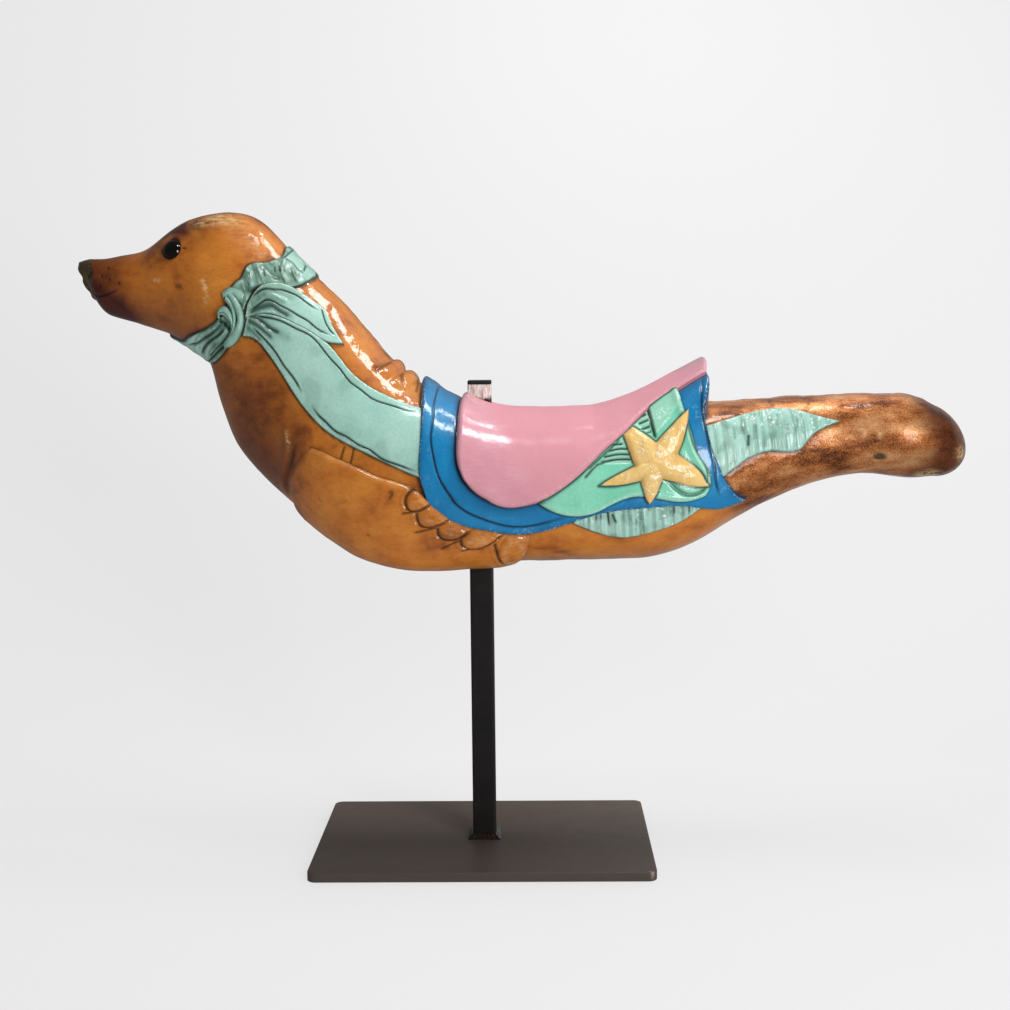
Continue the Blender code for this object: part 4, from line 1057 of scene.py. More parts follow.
# The band: rows from its front edge to its rear edge all round the neck, closed under the skin.
def addScarfBand():
    b, p = scarfBand, bandPleats
    angles = -90 + 360 * (np.arange(b["columns"]) + 0.5) / b["columns"]
    share = np.linspace(0, 1, b["rows"])[:, None]
    frill = p["frillHeight"] * np.sin(np.radians(angles * p["frills"])) * np.interp(angles, *p["frillAt"])
    front = (bandEdge("front", angles) + frill)[None]
    rear = (bandEdge("rear", angles) + frill)[None]
    stations = front + (rear - front) * share
    grid = np.broadcast_to(angles[None], stations.shape)
    near = nearAngle(grid)
    plain = skinPoint(stations, grid)
    edge = edgeDistance(plain, (1, 1, 0, 0))
    lift = b["thickness"] * (0.45 + 0.55 * roundEdge(edge, 5))
    for ridge in p["farRidges"]:
        lean = ridge + 2.5 * np.sin(5 * share + ridge)
        fade = 0.35 + 0.65 * np.sin(np.pi * share) ** 0.5
        lift = lift + p["height"] * bell(grid - lean, p["width"]) * fade
    farLow = ramp(8, -14, near) * ramp(90, 180, np.mod(grid + 180, 360))
    lift = lift + 1.3 * np.sin(share * 17 + near / 9) * farLow
    height, stain = carve(stations, grid, p["cuts"])
    lift = lift + height + 0.4 * wander(plain, 18, 21)
    # Painted shade in the band's hollows and along its edges, and painted highlight on the raised pleats.
    hollowShade = np.clip(1.1 - lift / b["thickness"], 0, 1) * ramp(1.5, 5, edge)
    stain = np.maximum(stain, np.maximum(0.9 * bell(edge, 1.3), 0.45 * hollowShade))
    wear = 0.5 * ramp(1.1, 1.5, lift / b["thickness"])
    flat = ramp(58, 66, near) * ramp(268, 276, stations)
    shade = (0.55 + 0.25 * wander(plain, 16, 22)) * (1 - 0.9 * flat) * ramp(-50, -20, near) + 0.1
    top, root = skinPoint(stations, grid, lift), skinPoint(stations, grid, skinRoot)
    rows, columns = stations.shape
    loop = np.concatenate([top, root[-1:], root[:1]])
    faces = gridFaces(rows + 2, columns, closeRows=True, closeColumns=True)
    marks = markValues(stain, wear, shade)
    dark = markValues(np.full((2, columns), 0.8), 0, 0)
    addPiece("scarfBand", toMetres(loop.reshape(-1, 3)), faces, mintFinish, [carvedNode],
             {"marks": np.concatenate([marks, dark])})


addScarfBand()


# The two ends of the scarf that fly back along the neck, with an incised hem and folds out of the knot.
tailCuts = dict(
    longTail=(
        *alike(-1.3, 1.15, 1.0, (     # the incised hem
            ((250, 9.5), (266, 13), (281, 18), (302, 24), (324, 28), (340, 31), (355, 32), (379, 32), (399, 33),
             (418, 33), (435, 35), (452, 36), (474, 39), (494, 42), (505, 43), (520, 45.5)),
            ((263, 5.5), (278, 7), (294, 8), (310, 8), (326, 7), (342, 7), (363, 6)),
            ((385, 6), (398, 6), (411, 7), (429, 8), (445, 10), (465, 11), (482, 12), (501, 11), (520, 11),
             (549, 10)))),
        # folds out of the knot: hollows stained darker as painted shade, and ridges
        (-2.2, 2.2, 0.9, ((250, 8), (262, 10.5), (275, 13), (290, 15), (304, 18))),
        (-1.8, 2.2, 0.8, ((251, 5), (262, 7.5), (280, 10), (297, 12))),
        (-1.2, 2.0, 0.5, ((252, 2), (266, 4), (282, 5))),
        (1.4, 3.0, 0.0, ((254, 7), (268, 10), (284, 13))),
        (1.2, 3.5, 0.0, ((257, 3.5), (272, 6), (290, 7.5))),
        (-1.0, 4.0, 0.25, ((270, 11), (290, 14), (320, 20))),
    ),
    shortTail=(
        *alike(-1.3, 1.15, 1.0, (
            ((249, 18), (255, 23), (262, 28), (273, 33), (285, 39), (294, 42), (307, 45), (319, 46), (335, 48)),
            ((249, 9), (259, 16), (264, 20), (271, 25), (280, 28), (290, 30), (305, 33), (319, 35), (332, 37),
             (345, 38), (364, 42)))),
        (-1.2, 1.1, 1.0, ((339, 52), (350, 47), (360, 45), (370, 45))),
        # the deep fold between the two ends and the folds beside it, stained darker as painted shade
        (-3.0, 3.0, 0.85, ((251, 8.5), (260, 15), (268, 19.5), (280, 25), (292, 27), (308, 30.5))),
        (1.8, 3.0, 0.0, ((258, 20), (268, 27), (282, 32), (300, 36))),
        (1.2, 3.2, 0.0, ((250, 14), (258, 23), (268, 31), (282, 37))),
        (-1.2, 2.6, 0.4, ((250, 12), (257, 19), (266, 27))),
    ),
)


# One end of the scarf: a slab with a round edge, thicker where it is gathered into the knot.
def addScarfTail(name, shape, cuts, openEnd):
    stations, angles, plain, edge = layerGrid(shape, (0, not openEnd, 1, 1))
    gather = ramp(70, 0, stations - stations.min())
    lift = shape["thickness"] * (0.5 + 0.5 * roundEdge(edge, 4.0)) + 1.5 * gather
    height, stain = carve(stations, angles, cuts)
    lift = lift + height + 0.35 * wander(plain, 45, 31)
    # Dark along the edge as glaze and painted shade, and a pale band just inside it as painted highlight on the
    # rounded edge.
    stain = np.maximum(stain, 0.8 * bell(edge, 1.1))
    wear = 0.5 * bell(edge - 2.5, 1.6)
    shade = 0.5 * ramp(75, 0, stations - stations.min()) + 0.2 * ramp(0.3, 1, wander(plain, 40, 33))
    addLayer(name, stations, angles, lift, (stain, wear, shade), mintFinish)


addScarfTail("scarfLongTail", longTail, tailCuts["longTail"], True)
addScarfTail("scarfShortTail", shortTail, tailCuts["shortTail"], False)


# The knot: rolled strips of cloth over and under each other, each with a round back, and one with a crease.
knotStrips = {
    # name: (places, half widths, height of the back, lift of its sides, creases across as shares)
    "scarfKnotFold": (((203, 5), (212, 9), (223, 11.5), (236, 13)), (3, 4, 4.5, 4.5), 6.5, 3.0, ()),
    "scarfKnotWrap": (((213, 7.5), (224, 6.5), (234, 5), (240.5, 2.5), (241.5, -1), (237, -6.5), (229, -12),
                       (220, -17)),
                      (3, 5, 6, 7, 7, 6.5, 5, 3), 14.5, 4.0, ()),
    "scarfKnotTuck": (((208, 4.5), (217, 4), (225, 2.5), (231, -0.5), (232, -5), (227, -10)),
                      (2.5, 3.2, 3.6, 3.6, 3.2, 2.5), 12.5, 4.0, ()),
    "scarfKnotLoop": (((203, -7), (201.5, -4.5), (206, -2), (213, -0.8), (221, -0.8), (228, -2.5), (230, -6)),
                      (2.4, 3, 3.8, 4.2, 4, 3.4, 2.8), 13.0, 5.0, (-0.35,)),
}


# Each strip's back is a rounded profile that sinks at its ends, and its creases wind along it.
def addKnot():
    for name, (places, halfWidths, height, base, creases) in knotStrips.items():
        stations, angles, t, s = stripGrid(places, halfWidths, 190, 60)
        back = np.clip(1 - np.abs(s) ** 2.2, 0, 1) ** 0.5
        ends = np.clip(np.sin(np.pi * np.clip(t, 0.02, 0.98)), 0, 1) ** 0.35
        lift = base + (height - base) * back * ends
        # Dark at each strip's sides, as painted shade where the strips meet.
        stain = 0.85 * bell(np.abs(s) - 1, 0.14) + 0 * t
        for crease in creases:
            away = s - crease - 0.12 * np.sin(7 * t + 3 * crease)
            lift = lift - 1.3 * bell(away, 0.15) * ends
            stain = np.maximum(stain, 0.75 * bell(away, 0.1) * ends)
        plain = skinPoint(stations, angles)
        lift = lift + 0.3 * wander(plain, 14, 41)
        # A pale line along each back is painted highlight, and shade paints the sides darker.
        wear = 0.25 * bell(s + 0.25 - 0.2 * np.sin(5 * t), 0.3) * ends
        shade = 0.3 + 0.3 * np.abs(s) ** 2 + 0.12 * wander(plain, 20, 42)
        addLayer(name, stations, angles, lift, (stain, wear, shade + 0 * t), mintFinish)


addKnot()
print("scarf done")


# Lift of the blanket's face: its thickness, its front rim, and the block under the cantle.
def blanketLift(stations, angles):
    b = blanketEdge
    near = nearAngle(angles)
    rim = b["rim"] * (1 - ramp(528, 556, stations)) * ramp(20, 60, near)
    rise = np.clip((stations - b["cantleFront"]) / (b["cantleRear"] - b["cantleFront"]), 0, 1) ** 1.4
    return b["thickness"] + rim + b["cantleRise"] * rise * ramp(10, 62, near)


blanketLines = (
    ((540, 90), (542, 68), (545, 56), (552, 42), (557, 30), (566, 21), (578, 11), (592, 4), (609, -1.5),
     (627, -6), (646, -9.5), (665, -12.5), (684, -14), (702, -13.5), (721, -11.5), (735, -9.5), (749, -8)),
    ((931, 60), (928, 50), (927, 40), (931, 31), (936, 19), (942, 6), (944, -3), (950, -15)),
)


# The blanket: a slab with a round edge and two incised lines, darker along its edges and beside the saddle and
# the cloth as painted shade, worn pale at its edge, and with pale patches near the edge that are painted
# highlights.
def addBlanket():
    b = blanketEdge
    stations, angles = overTheBack(*fillEdges(b))
    near = nearAngle(angles)
    lift = blanketLift(stations, angles)
    ground = skinPoint(stations, angles, lift)
    edge = edgeDistance(ground)
    lift = lift - b["thickness"] * 0.62 * (1 - roundEdge(edge, 4))
    height, stain = carve(stations, near, alike(-1.4, 1.25, 1.0, blanketLines))
    saddleGap = nearestOf(stations, near, (saddleEdge["lower"], saddleEdge["start"]))
    clothGap = nearestOf(stations, angles, (greenCloth["lower"], greenCloth["end"]))
    front = ramp(660, 600, stations)
    stain = np.maximum.reduce([stain, 0.8 * bell(np.maximum(saddleGap - 2.0 * front, 0), 1.2),
                               0.8 * bell(clothGap, 1.3), 0.85 * bell(edge, 1.0)])
    # tone is the blue's dark second colour: painted shade along the edges and beside the saddle.
    tone = 0.55 * bell(edge, 7) + 0.5 * bell(saddleGap, 9)
    lift = lift + height - 0.8 * bell(saddleGap, 2.0) + 0.3 * wander(ground, 50, 51)
    wear = 0.55 * bell(edge - 2, 1.4) + 0.15 * ramp(0.55, 1, wander(ground, 26, 52)) * ramp(40, 10, edge)
    addLayer("blanket", stations, angles, lift, (stain, wear, tone), blueFinish)


addBlanket()


# The saddle: a smooth seat with a rounded edge, which thickens into the plank of the cantle.
def addSaddle():
    s = saddleEdge
    stations, angles = overTheBack(*fillEdges(s))
    near = nearAngle(angles)
    ground = blanketLift(stations, angles)
    thickness = s["thickness"] + (s["plank"] - s["thickness"]) * ramp(700, 938, stations)
    plain = skinPoint(stations, angles, ground)
    edge = edgeDistance(plain)
    radius = np.interp(stations, (600, 800, 900), (9, 9, 4))
    rounded = roundEdge(edge, radius)
    floor = np.interp(stations, (600, 850, 930), (0.2, 0.2, 0.5))
    lift = ground + thickness * (floor + (1 - floor) * rounded)
    lift = lift + 0.35 * wander(plain, 75, 61) + 0.1 * wander(plain, 24, 62)
    # Dark along its edge, except at the plank, as painted shade where it meets the blanket.
    stain = 0.7 * bell(edge, 1.0) * ramp(900, 840, stations)
    wear = 0.3 * bell(edge - 4, 2.5)
    rubbed = ramp(700, 726, stations + 1.2 * near) * ramp(930, 880, stations)
    addLayer("saddle", stations, angles, lift, (stain, wear, rubbed), pinkFinish,
             root=ground - s["root"], wallGlazeAndShade=0.12)


addSaddle()
print("blanket and saddle done")


# The green cloth under the starfish: a rolled hem along its free edges, and two fringed places in pale paint.
clothCuts = (
    (-1.5, 1.6, 0.8, ((904, 45), (908, 35), (915, 21), (927, 9), (933, 0), (932, -4), (922, -7), (905, -6),
                      (889, -1), (874, 4))),
    (-1.4, 1.6, 0.9, ((771, 11), (779, 15), (788, 19), (797, 20))),
    (-1.4, 1.8, 0.9, ((774, 16), (790, 23), (806, 30), (820, 36))),
    *alike(-1.5, 1.6, 1.0, (         # between the tassels of the fringes
        ((802, 28), (816, 29), (831, 28)), ((795, 24), (808, 25), (833, 24)),
        ((792, 20.5), (808, 21.5), (835, 20.5)), ((843, 50), (857, 51)),
        ((845, 45), (859, 46)), ((848, 40), (860, 41)))),
    (-1.4, 1.5, 1.0, ((809, 32.5), (823, 32.5))), (-1.2, 1.4, 0.8, ((851, 36), (861, 37))),
    (-2.2, 1.8, 1.0, ((858, 57), (860, 49), (862, 41), (866, 31))),
    (1.2, 5.0, 0.0, ((760, -2), (790, 4), (820, 8), (840, 8))),
)
fringes = (((794, 20), (813, 31), (823, 37), (834, 23), (838, 18)), ((840, 46), (857, 54), (860, 36)))
clothFold = ((860, 57), (867, 33), (884, 42), (903, 49), (900, 62))


# 1 inside an outline without hollows on the skin, fading over its edge.
def insideOutline(stations, angles, corners):
    inside = np.ones(stations.shape)
    middle = np.mean(corners, axis=0)
    for (u0, a0), (u1, a1) in zip(corners, corners[1:] + corners[:1]):
        normal = np.array([(a1 - a0) * perDegree, -(u1 - u0)])
        normal = normal / np.linalg.norm(normal)
        side = (stations - u0) * normal[0] + (angles - a0) * perDegree * normal[1]
        centreSide = (middle[0] - u0) * normal[0] + (middle[1] - a0) * perDegree * normal[1]
        inside = np.minimum(inside, ramp(-2.0, 0.5, side * np.sign(centreSide)))
    return inside


# The cloth's face: hem, fringes and fold stand out of it, and it is darker round the starfish and along the
# saddle's edge as painted shade; a pale patch on the fold is painted highlight.
def addCloth():
    c = greenCloth
    stations, angles = fillEdges(c)
    ground = blanketLift(stations, angles)
    plain = skinPoint(stations, angles, ground)
    edge = edgeDistance(plain, (1, 1, 1, 0))
    hem = 1.6 * bell(edge - 6, 4.5)
    height, stain = carve(stations, angles, clothCuts)
    fringe = np.maximum.reduce([insideOutline(stations, angles, corners) for corners in fringes])
    lift = ground + c["thickness"] * (0.4 + 0.6 * roundEdge(edge, 5)) + hem + height - 1.2 * fringe
    lift = lift + 0.3 * wander(plain, 35, 71)
    saddleGap = nearLine(stations, angles, saddleEdge["lower"], 8)[0]
    stain = np.maximum.reduce([stain, 0.8 * bell(edge, 1.1), 0.9 * bell(starGap(stations, angles), 1.8),
                               0.9 * bell(saddleGap, 2.0)])
    fold = insideOutline(stations, angles, clothFold)
    lift = lift + 2.2 * fold
    hemWide = bell(edgeDistance(plain, (0, 1, 1, 0)) - 4, 4)
    second = 0.55 * fringe + 0.5 * fold + 0.5 * hemWide
    wear = 0.25 * bell(edge - 4, 2) + ovals(stations, angles, [(875, 46, 9, 4, 1.0)])
    addLayer("greenCloth", stations, angles, lift, (stain, wear, second), greenFinish)


# The starfish: five arms with a crest along each, pitted, with pale painted glints and grey painted specks at
# given spots, and darker in the valleys between the arms as painted shade.
starfish = dict(
    middle=(862, 16),
    corners=((824, 39), (837, 44), (866, 29), (910, 43), (894, 18), (937, -6), (873, 4.5), (854, -6), (843, 6),
             (789, 6), (836, 16)),
    crests=(1, 1, 0, 1, 0, 1, 0, 1, 0, 1, 0),   # 1 at the end of an arm, 0 between two arms
    bow=(0, 0.02, 0.1, 0.1, 0.08, 0.08, 0.06, 0.06, 0.1, 0.1, 0.02),
    height=12.0, sides=396, rings=110, pitSpacing=3.4, perDegree=1.9,
    glints=((846, 26, 9), (884, 30, 9), (896, 33, 6), (884, 14, 10), (900, 7, 8), (862, 8, 9), (856, -1, 7),
            (822, 9, 7), (868, 20, 8)),
)


# The star's outline from corner to corner, each side bowed out a little.
def starOutline(count):
    corners, crests = np.array(starfish["corners"], float), np.array(starfish["crests"], float)
    total = len(corners)
    places = np.linspace(0, total, count, endpoint=False)
    i = places.astype(int)
    t = places - i
    a, b = corners[i], corners[(i + 1) % total]
    middle = np.array(starfish["middle"], float)
    line = a + (b - a) * t[:, None]
    bow = np.array(starfish["bow"])[i]
    line = middle + (line - middle) * (1 + bow * np.sin(np.pi * t))[:, None]
    return line, crests[i] * (1 - t) + crests[(i + 1) % total] * t


# Distance in mm from each place to the star's outline, 0 inside.
def starGap(stations, angles):
    line = starOutline(44)[0]
    ring = np.concatenate([line, line[:1]])
    gap = np.full(stations.shape, 99.0)
    for (u0, a0), (u1, a1) in zip(ring[:-1], ring[1:]):
        du, da = u1 - u0, (a1 - a0) * starfish["perDegree"]
        awayU, awayA = stations - u0, (angles - a0) * starfish["perDegree"]
        t = np.clip((awayU * du + awayA * da) / (du * du + da * da), 0, 1)
        gap = np.minimum(gap, np.hypot(awayU - t * du, awayA - t * da))
    return gap


# Rings from the outline to the middle: the face rounds up from the edge and is higher along the crests.
def addStarfish():
    p = starfish
    line, crest = starOutline(p["sides"])
    middle = np.array(p["middle"], float)
    share = np.linspace(1, 0, p["rings"] + 1)[:-1, None]
    places = middle + (line[None] - middle) * share[..., None]
    stations, angles = places[..., 0], places[..., 1]
    ground = blanketLift(stations, angles)
    gap = starGap(stations, angles)
    ridge = crest[None] ** 1.6
    dome = 0.55 + 0.45 * (1 - share) ** 0.8
    profile = roundEdge(gap, 7.5) * (0.75 + 0.25 * ridge * share + 0.25 * (1 - share))
    arms = np.where(crest[None] > 0, 1 - 0.45 * share * ridge, 1)
    lift = 3.0 + p["height"] * profile * dome * arms
    plain = skinPoint(stations, angles, ground)
    near = np.maximum.reduce([bell(np.hypot(stations - u, (angles - a) * p["perDegree"]), size)
                              for u, a, size in p["glints"]])
    pits = ramp(0.35, 1.0, wander(plain, p["pitSpacing"], 81) + 0.4 * wander(plain, 11, 83)) * ramp(1, 4, gap)
    glint = near * ramp(-0.3, 0.5, wander(plain, 12, 84) + 0.5 * wander(plain, 5, 85))
    lift = ground + lift - (0.1 + 0.25 * near) * pits + 0.5 * glint + 0.3 * wander(plain, 20, 82)
    top = skinPoint(stations, angles, lift)
    root = skinPoint(line[:, 0], line[:, 1], blanketLift(line[:, 0], line[:, 1]) - 4)
    peak = skinPoint(*middle, blanketLift(*middle) + 3 + p["height"])
    base = skinPoint(*middle, blanketLift(*middle) - 6)
    points, faces = closedRings(np.concatenate([root[None], top]), base, peak)
    # Painted shade in the valleys between the arms; glint marks pale painted highlights and grey painted
    # specks.
    valleyShade = (1 - crest[None]) ** 4 * share ** 0.5 * ramp(14, 2, gap)
    stain = np.maximum.reduce([0.08 * ramp(0.7, 1, pits), 0.75 * bell(gap, 1.0), 0.3 * valleyShade])
    marks = markValues(stain, 1.3 * glint, 0.25 * near * ramp(0.3, 0.8, pits))
    dark = markValues(np.full((1, p["sides"]), 0.8), 0, 0)
    addPiece("starfish", toMetres(points), faces, yellowFinish, [carvedNode],
             {"marks": np.concatenate([dark, marks, [(0.8, 0, 0, 1), (0, 0.3, 0, 1)]])})


addCloth()
addStarfish()


# Kelp: thin fronds with flutes across them, painted darker in the flutes' hollows as shade, dark glaze in a few
# cuts, and pale strokes of the brush, painted as highlight along the upper side and at a glint place.
kelpFlutes = dict(
    bellyKelp=dict(
        spacing=13.0, lean=0.1, grain=0.45, seed=91, dark=0.95, fade=(925, 900), glint=(880, 40), white=(),
        strong=((806, -9), (811, -16)),
        more=(((842, -10), (843, -17)), ((868, -11), (868, -20)), ((880, -12), (884, -19)),
              ((826, -8), (828, -16))),
    ),
    tailKelp=dict(
        spacing=17.0, lean=0.12, grain=0.2, seed=92, dark=0.16, fade=(1075, 1030), glint=(1088, 26),
        white=(((999, 42), (998, 33)), ((1010, 24), (1017, 39)), ((1027, 27), (1035, 42)),
               ((1047, 24), (1046, 13)), ((1062, 20), (1067, 37)), ((1078, 26), (1086, 38)),
               ((1088, 24), (1100, 33)), ((1100, 20), (1112, 28))),
        strong=((992, 22), (991, 11)),
        more=(((1001, 31), (999, 15)), ((985, 40), (983, 25)), ((1034, 40), (1031, 24)),
              ((1060, 30), (1056, 14)), ((1046, 25), (1044, 13)), ((972, 33), (972, 20))),
    ),
)


# One frond: sine waves across it that drift in step, with fine bristle marks along the same walk.
def addKelp(name, shape, flutes, openStart):
    stations, angles, plain, edge = layerGrid(shape, (not openStart, 1, 1, 1))
    walk = stations + flutes["lean"] * angles
    drift = 2.2 * wander(stations[..., None] * (1, 0, 0), 40, flutes["seed"])
    wave = np.sin(2 * np.pi * walk / flutes["spacing"] + drift)
    bristle = wander(np.stack([walk, 0.05 * plain[..., 2], 0 * walk], -1), 5.0, flutes["seed"] + 3)
    across = np.linspace(0, 1, shape["across"])[None]
    ripple = 0.8 * wave * (0.35 + 0.65 * across) + flutes["grain"] * bristle
    lift = shape["thickness"] * (0.4 + 0.6 * roundEdge(edge, 4)) + ripple * ramp(0, 6, edge)
    cuts = alike(-1.6, 1.5, 0.9, [flutes["strong"]]) + alike(-1.2, 1.6, 0.3, flutes["more"])
    height, stain = carve(stations, angles, cuts + alike(1.0, 2.0, 0.0, shifted(flutes["more"], 5, 0)))
    lift = lift + height + 0.2 * wander(plain, 15, flutes["seed"] + 1)
    patch = ramp(-0.1, 0.9, wander(plain, 24, flutes["seed"] + 2)) * ramp(*flutes["fade"], stations)
    dark = flutes["dark"] * ramp(0.2, 1.1, bristle) * patch * ramp(0.1, 0.5, across)
    stain = np.maximum.reduce([stain, 0.8 * bell(edge, 1.2), dark])
    glint, glintWidth = flutes["glint"]
    bright = (1 - patch) * ramp(0.25, 0.8, across) + 1.3 * bell(stations - glint, glintWidth)
    wear = 1.1 * ramp(0.1, 1.0, -bristle) * bright
    wear = np.maximum(wear, carve(stations, angles, alike(0.5, 2.2, 1.7, flutes["white"]))[1])
    shade = 0.35 * ramp(0.3, -0.8, wave) + 0.3 * patch
    addLayer(name, stations, angles, lift, (stain, wear, shade), mintFinish)


addKelp("bellyKelp", bellyKelp, kelpFlutes["bellyKelp"], False)
addKelp("tailKelp", tailKelp, kelpFlutes["tailKelp"], True)
print("cloth, starfish and kelp done")


# The stand. Sections are rounded rectangles carried through a few heights.
stand = dict(plateCorner=12.0, plateEdge=1.2, postCorner=2.5, postWall=3.0, postEase=0.5, scuffed=18.0,
             weldRipple=5.2)


# Points round a rectangle with round corners: each corner is an arc, the sides have the given steps.
def roundedRectangle(length, depth, radius, cornerSteps, sideSteps):
    arc = np.linspace(0, np.pi / 2, cornerSteps)
    corners = []
    for i, (sideX, sideY) in enumerate(((1, 1), (-1, 1), (-1, -1), (1, -1))):
        centre = np.array([(length / 2 - radius) * sideX, (depth / 2 - radius) * sideY])
        turn = arc + i * np.pi / 2
        corners.append(centre + radius * np.stack([np.cos(turn), np.sin(turn)], -1))
    share = np.linspace(0, 1, sideSteps + 1)[1:-1, None]
    outline = []
    for corner, after in zip(corners, corners[1:] + corners[:1]):
        outline += [corner, corner[-1] + (after[0] - corner[-1]) * share]
    return np.concatenate(outline)


# A flat outline carried to a height.
def atHeight(outline, z):
    return np.concatenate([outline, np.full((len(outline), 1), z)], 1)


# The plate: rings from the middle of the underside, out round the eased edge, to the middle of the top.
def addPlate():
    low, high = (np.array(corner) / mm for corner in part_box("base_plate"))
    length, depth = (high - low)[:2]
    edge, corner = stand["plateEdge"], stand["plateCorner"]
    turn = np.linspace(0, np.pi / 2, 6)
    steps = [(edge, low[2])]
    steps += [(edge * (1 - np.sin(a)), low[2] + edge * (1 - np.cos(a))) for a in turn]
    steps += [(edge * (1 - np.cos(a)), high[2] - edge * (1 - np.sin(a))) for a in turn]
    rings = []
    for inset, z in steps:
        outline = roundedRectangle(length - 2 * inset, depth - 2 * inset, corner - inset, 14, 60)
        rings.append(atHeight(outline, z))
    top = rings[-1]
    for share in np.linspace(1, 0, 40)[1:-1]:
        rings.append(top * (share, share, 1))
    rings = np.array(rings)
    chip = bell(np.linalg.norm(rings - (high[0] - 5, low[1] + 0.5, high[2]), axis=-1), 5)
    rings[..., 2] -= 1.0 * chip * (rings[..., 2] > high[2] - 3)
    points, faces = closedRings(rings, (0, 0, low[2]), (0, 0, high[2]))
    # The plate is warmer all over and paler towards the back as painted sheen; the chip shows the warm colour.
    pale = 0.24 + 0.24 * ramp(-60, 120, rings[..., 1])
    marks = markValues(0 * chip, 0, np.maximum(pale, ramp(0.4, 0.8, chip)))
    addPiece("basePlate", points * mm, faces, coatFinish, ["base_plate"],
             {"marks": np.concatenate([marks, [unmarked, unmarked]])})


# The post: the tube's outside, its top rim, its inside and its foot, as one loop of rings.
def addPost():
    low, high = (np.array(corner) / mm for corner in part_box("stand_post"))
    width = high[0] - low[0]
    inner = width - 2 * stand["postWall"]
    ease, corner = stand["postEase"], stand["postCorner"]
    rings = [(width, corner, z) for z in np.linspace(low[2], high[2] - 40, 90)]
    rings += [(width, corner, z) for z in np.linspace(high[2] - 39, high[2] - ease, 60)]
    rings += [(width - ease, corner, high[2]), (inner, corner / 2, high[2])]
    rings += [(inner, corner / 2, z) for z in np.linspace(high[2] - 20, low[2], 12)]
    rings = np.array([atHeight(roundedRectangle(side, side, radius, 8, 18), z) for side, radius, z in rings])
    rows, columns = rings.shape[:2]
    z = rings[..., 2]
    # Near the top the coat is worn to bare steel, whose shine is painted in as pale colour.
    bare = high[2] - stand["scuffed"]
    wear = ramp(bare - 3, bare + 3, z + 1.5 * wander(rings, 8, 101))
    marks = markValues(0 * z, wear, 0.5 * bell(z - high[2], 0.8))
    faces = gridFaces(rows, columns, closeRows=True, closeColumns=True)
    addPiece("standPost", rings.reshape(-1, 3) * mm, faces, coatFinish, ["stand_post"],
             {"marks": marks})


# The weld: a fillet carried round the post's foot, its face rippled where each puddle froze.
def addWeld():
    low, high = (np.array(corner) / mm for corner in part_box("weld_bead"))
    postLow, postHigh = (np.array(corner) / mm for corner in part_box("stand_post"))
    leg = high[2] - low[2]
    inside = postHigh[0] - postLow[0] + 0.6
    base = roundedRectangle(inside, inside, stand["postCorner"] + 0.3, 24, 40)
    steps = np.linalg.norm(np.roll(base, -1, 0) - base, axis=1)
    walk = np.concatenate([[0], np.cumsum(steps)[:-1]])
    ripple = np.sin(2 * np.pi * walk / stand["weldRipple"] + 1.3 * np.sin(walk / 11))
    ripple = ripple + 0.5 * np.sin(walk / 3.1)
    outward = np.clip(1.35 * base / np.linalg.norm(base, axis=1)[:, None], -1, 1)
    sections = []
    for share in np.linspace(0, 1, 22):
        bow = 1 + (0.12 + 0.09 * ripple) * np.sin(np.pi * share)
        side = base + outward * (leg * (1 - share) * bow)[:, None]
        sections.append(np.concatenate([side, (low[2] + leg * share * bow)[:, None]], 1))
    sections.append(atHeight(base, low[2]))
    rings = np.array(sections)
    faces = gridFaces(rings.shape[0], rings.shape[1], closeRows=True, closeColumns=True)
    addPiece("weldBead", rings.reshape(-1, 3) * mm, faces, weldFinish, ["weld_bead"])


# The cap: its plug inside the tube and its head, with eased edges and a slightly crowned top.
def addCap():
    low, high = (np.array(corner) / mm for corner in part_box("post_cap"))
    postHigh = np.array(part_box("stand_post")[1]) / mm
    width = high[0] - low[0]
    plug = width - 2 * stand["postWall"] - 0.6
    under = postHigh[2] + 0.3
    sizes = [(plug - 1, low[2]), (plug, low[2] + 0.8), (plug, under), (width - 0.6, under),
             (width, under + 0.4), (width, high[2] - 1.2), (width - 0.7, high[2] - 0.35),
             (width - 2.4, high[2])]
    rings = [atHeight(roundedRectangle(size, size, min(2.4, size / 8), 8, 14), z) for size, z in sizes]
    rings += [rings[-1] * (share, share, 1) for share in np.linspace(1, 0, 10)[1:-1]]
    points, faces = closedRings(np.array(rings), (0, 0, low[2]), (0, 0, high[2]))
    addPiece("postCap", points * mm, faces, plasticFinish, ["post_cap"])


addPlate()
addPost()
addWeld()
addCap()
print("stand done")


# Where the photograph was taken from: the image is taken as 1010 by 1010.
camera = dict(place=(0.0694, -2.0137, 0.6998), yaw=-0.0182, pitch=0.1106, roll=-0.0103, focal=1484.118,
              frame=1010)


# The camera's axes: forward from yaw and pitch, and right and up turned about it by the roll.
def addCamera():
    yaw, pitch, roll = camera["yaw"], camera["pitch"], camera["roll"]
    forward = np.array([np.sin(yaw) * np.cos(pitch), np.cos(yaw) * np.cos(pitch), -np.sin(pitch)])
    level = np.array([np.cos(yaw), -np.sin(yaw), 0.0])
    upward = np.cross(level, forward)
    right = np.cos(roll) * level + np.sin(roll) * upward
    up = -np.sin(roll) * level + np.cos(roll) * upward
    data = bpy.data.cameras.new("studioCamera")
    data.sensor_width = 36
    data.lens = camera["focal"] / camera["frame"] * data.sensor_width
    bpy.context.scene.camera = addObject("studioCamera", data, camera["place"], [right, up, -forward])


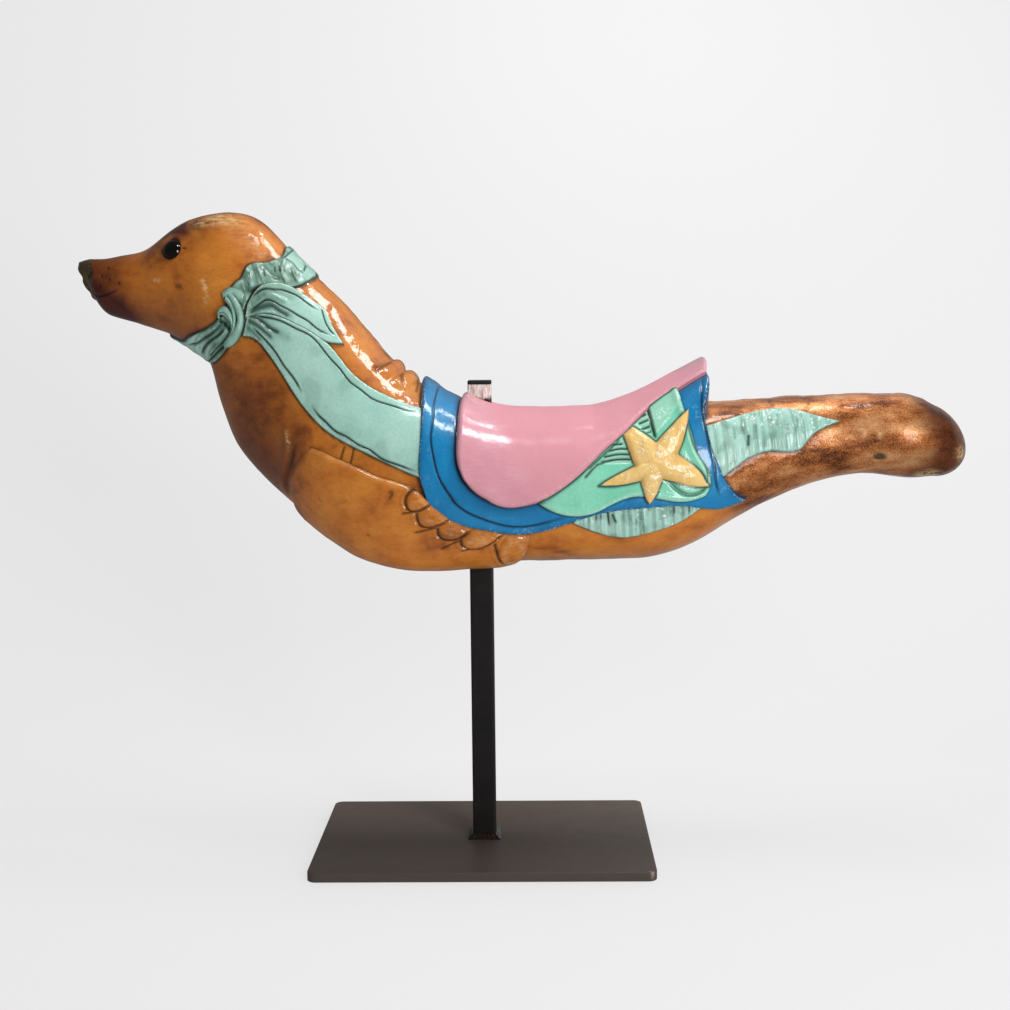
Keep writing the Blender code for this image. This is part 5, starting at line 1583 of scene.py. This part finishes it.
# Soft lights: place, what it faces, length and height in metres, watts, and whether it shows in the varnish.
# Three small keys hang over the saddle and the neck and draw the bright streaks. The fill leaves no window in
# the gloss, and the round front window glows on the tail's bulb.
lights = {
    "keySoftbox": ((0.14, -0.32, 1.66), (0.05, 0, 0.6), (0.21, 0.21), 3.4, True),
    "keyRight": ((0.5, 0.0, 1.66), (0.05, 0, 0.6), (0.28, 0.32), 5.0, True),
    "keyBack": ((0.23, 0.19, 1.66), (0.0, 0, 0.6), (0.1, 0.09), 0.75, True),
    "overheadPanel": ((0.3, 0.1, 2.7), (0.1, 0, 0.4), (1.5, 1.5), 7, False),
    "frontFill": ((1.2, -2.2, 1.6), (0.0, 0, 0.45), (1.1, 1.1), 24, False),
    "frontWindow": ((1.6, -2.2, 0.8), (0.1, 0, 0.6), (0.75, 1.1), 27, True),
}
room = dict(reach=5.0, wall=0.75, bend=0.35, height=3.4, paper="#7C7C7D", paperLow="#787879", glow=0.66,
            glossLost=0.95, wallLost=0.4, airSeen=0.85, airLight=0.1)


# Each light looks back along the line from what it faces.
def addLights():
    for name, (place, towards, size, power, inGloss) in lights.items():
        data = bpy.data.lights.new(name, "AREA")
        data.shape = "ELLIPSE" if name == "frontWindow" else "RECTANGLE"
        data.size, data.size_y = size
        data.energy = power
        back = np.array(place, float) - np.array(towards, float)
        back /= np.linalg.norm(back)
        side = np.cross((0, 0, 1), back)
        side /= np.linalg.norm(side)
        made = addObject(name, data, place, [side, np.cross(back, side), back])
        made.visible_glossy = inGloss


# The backdrop is a floor that bends up into a wall: lit paper with a glow of its own, so that it stays even.
# Its back is see-through, and it is faint in the varnish.
def addSweep():
    r = room
    turn = np.linspace(0, np.pi / 2, 24)
    bend = np.stack([r["wall"] - r["bend"] * (1 - np.sin(turn)), r["bend"] * (1 - np.cos(turn))], -1)
    profile = np.concatenate([[(-r["reach"], 0)], bend, [(r["wall"], r["height"])]])
    x = np.linspace(-r["reach"], r["reach"], 12)
    grid = np.empty((len(profile), len(x), 3))
    grid[..., 0] = x
    grid[..., 1:] = profile[:, None]
    mesh = bpy.data.meshes.new("paperSweep")
    mesh.from_pydata(grid.reshape(-1, 3).tolist(), [], gridFaces(len(profile), len(x)).tolist())
    mesh.shade_smooth()
    material, tree, shader = newMaterial("seamlessPaper", Roughness=0.9, Specular_IOR_Level=0.1,
                                         Emission_Color=(1, 1, 1, 1), Emission_Strength=r["glow"])
    shade = noise(tree, objectPlaces(tree), 700, 2)
    feed(tree, shader, Base_Color=mixed(tree, shade, linear(r["paper"]), linear(r["paperLow"])))
    behind = addNode(tree, "ShaderNodeNewGeometry").outputs["Backfacing"]
    inGloss = addNode(tree, "ShaderNodeLightPath").outputs["Is Glossy Ray"]
    where = addNode(tree, "ShaderNodeSeparateXYZ", {0: objectPlaces(tree)}).outputs
    share = times(tree, scaled(tree, where["Y"], 0.1, 0.74), scaled(tree, where["X"], 0.0, 0.7))
    lost = scaled(tree, share, 0, 1, r["glossLost"], r["wallLost"])
    behind = combined(tree, "MAXIMUM", behind, times(tree, inGloss, lost))
    clear = addNode(tree, "ShaderNodeBsdfTransparent").outputs[0]
    sides = addNode(tree, "ShaderNodeMixShader", {0: behind, 1: shader.outputs[0], 2: clear})
    tree.links.new(sides.outputs[0], tree.nodes["Material Output"].inputs["Surface"])
    mesh.materials.append(material)
    sweep = addObject("paperSweep", mesh)


# The air round the backdrop is pale to the eye and dim as a light.
def addAir():
    world = bpy.data.worlds.new("studioAir")
    world.use_nodes = True
    seen = addNode(world.node_tree, "ShaderNodeLightPath").outputs["Is Camera Ray"]
    strength = scaled(world.node_tree, seen, 0, 1, room["airLight"], room["airSeen"])
    background = world.node_tree.nodes["Background"]
    background.inputs["Color"].default_value = (1, 1, 1, 1)
    world.node_tree.links.new(strength, background.inputs["Strength"])
    bpy.context.scene.world = world
    bpy.context.scene.view_settings.view_transform = "Standard"


addCamera()
addLights()
addSweep()
addAir()
print("camera and lights set")
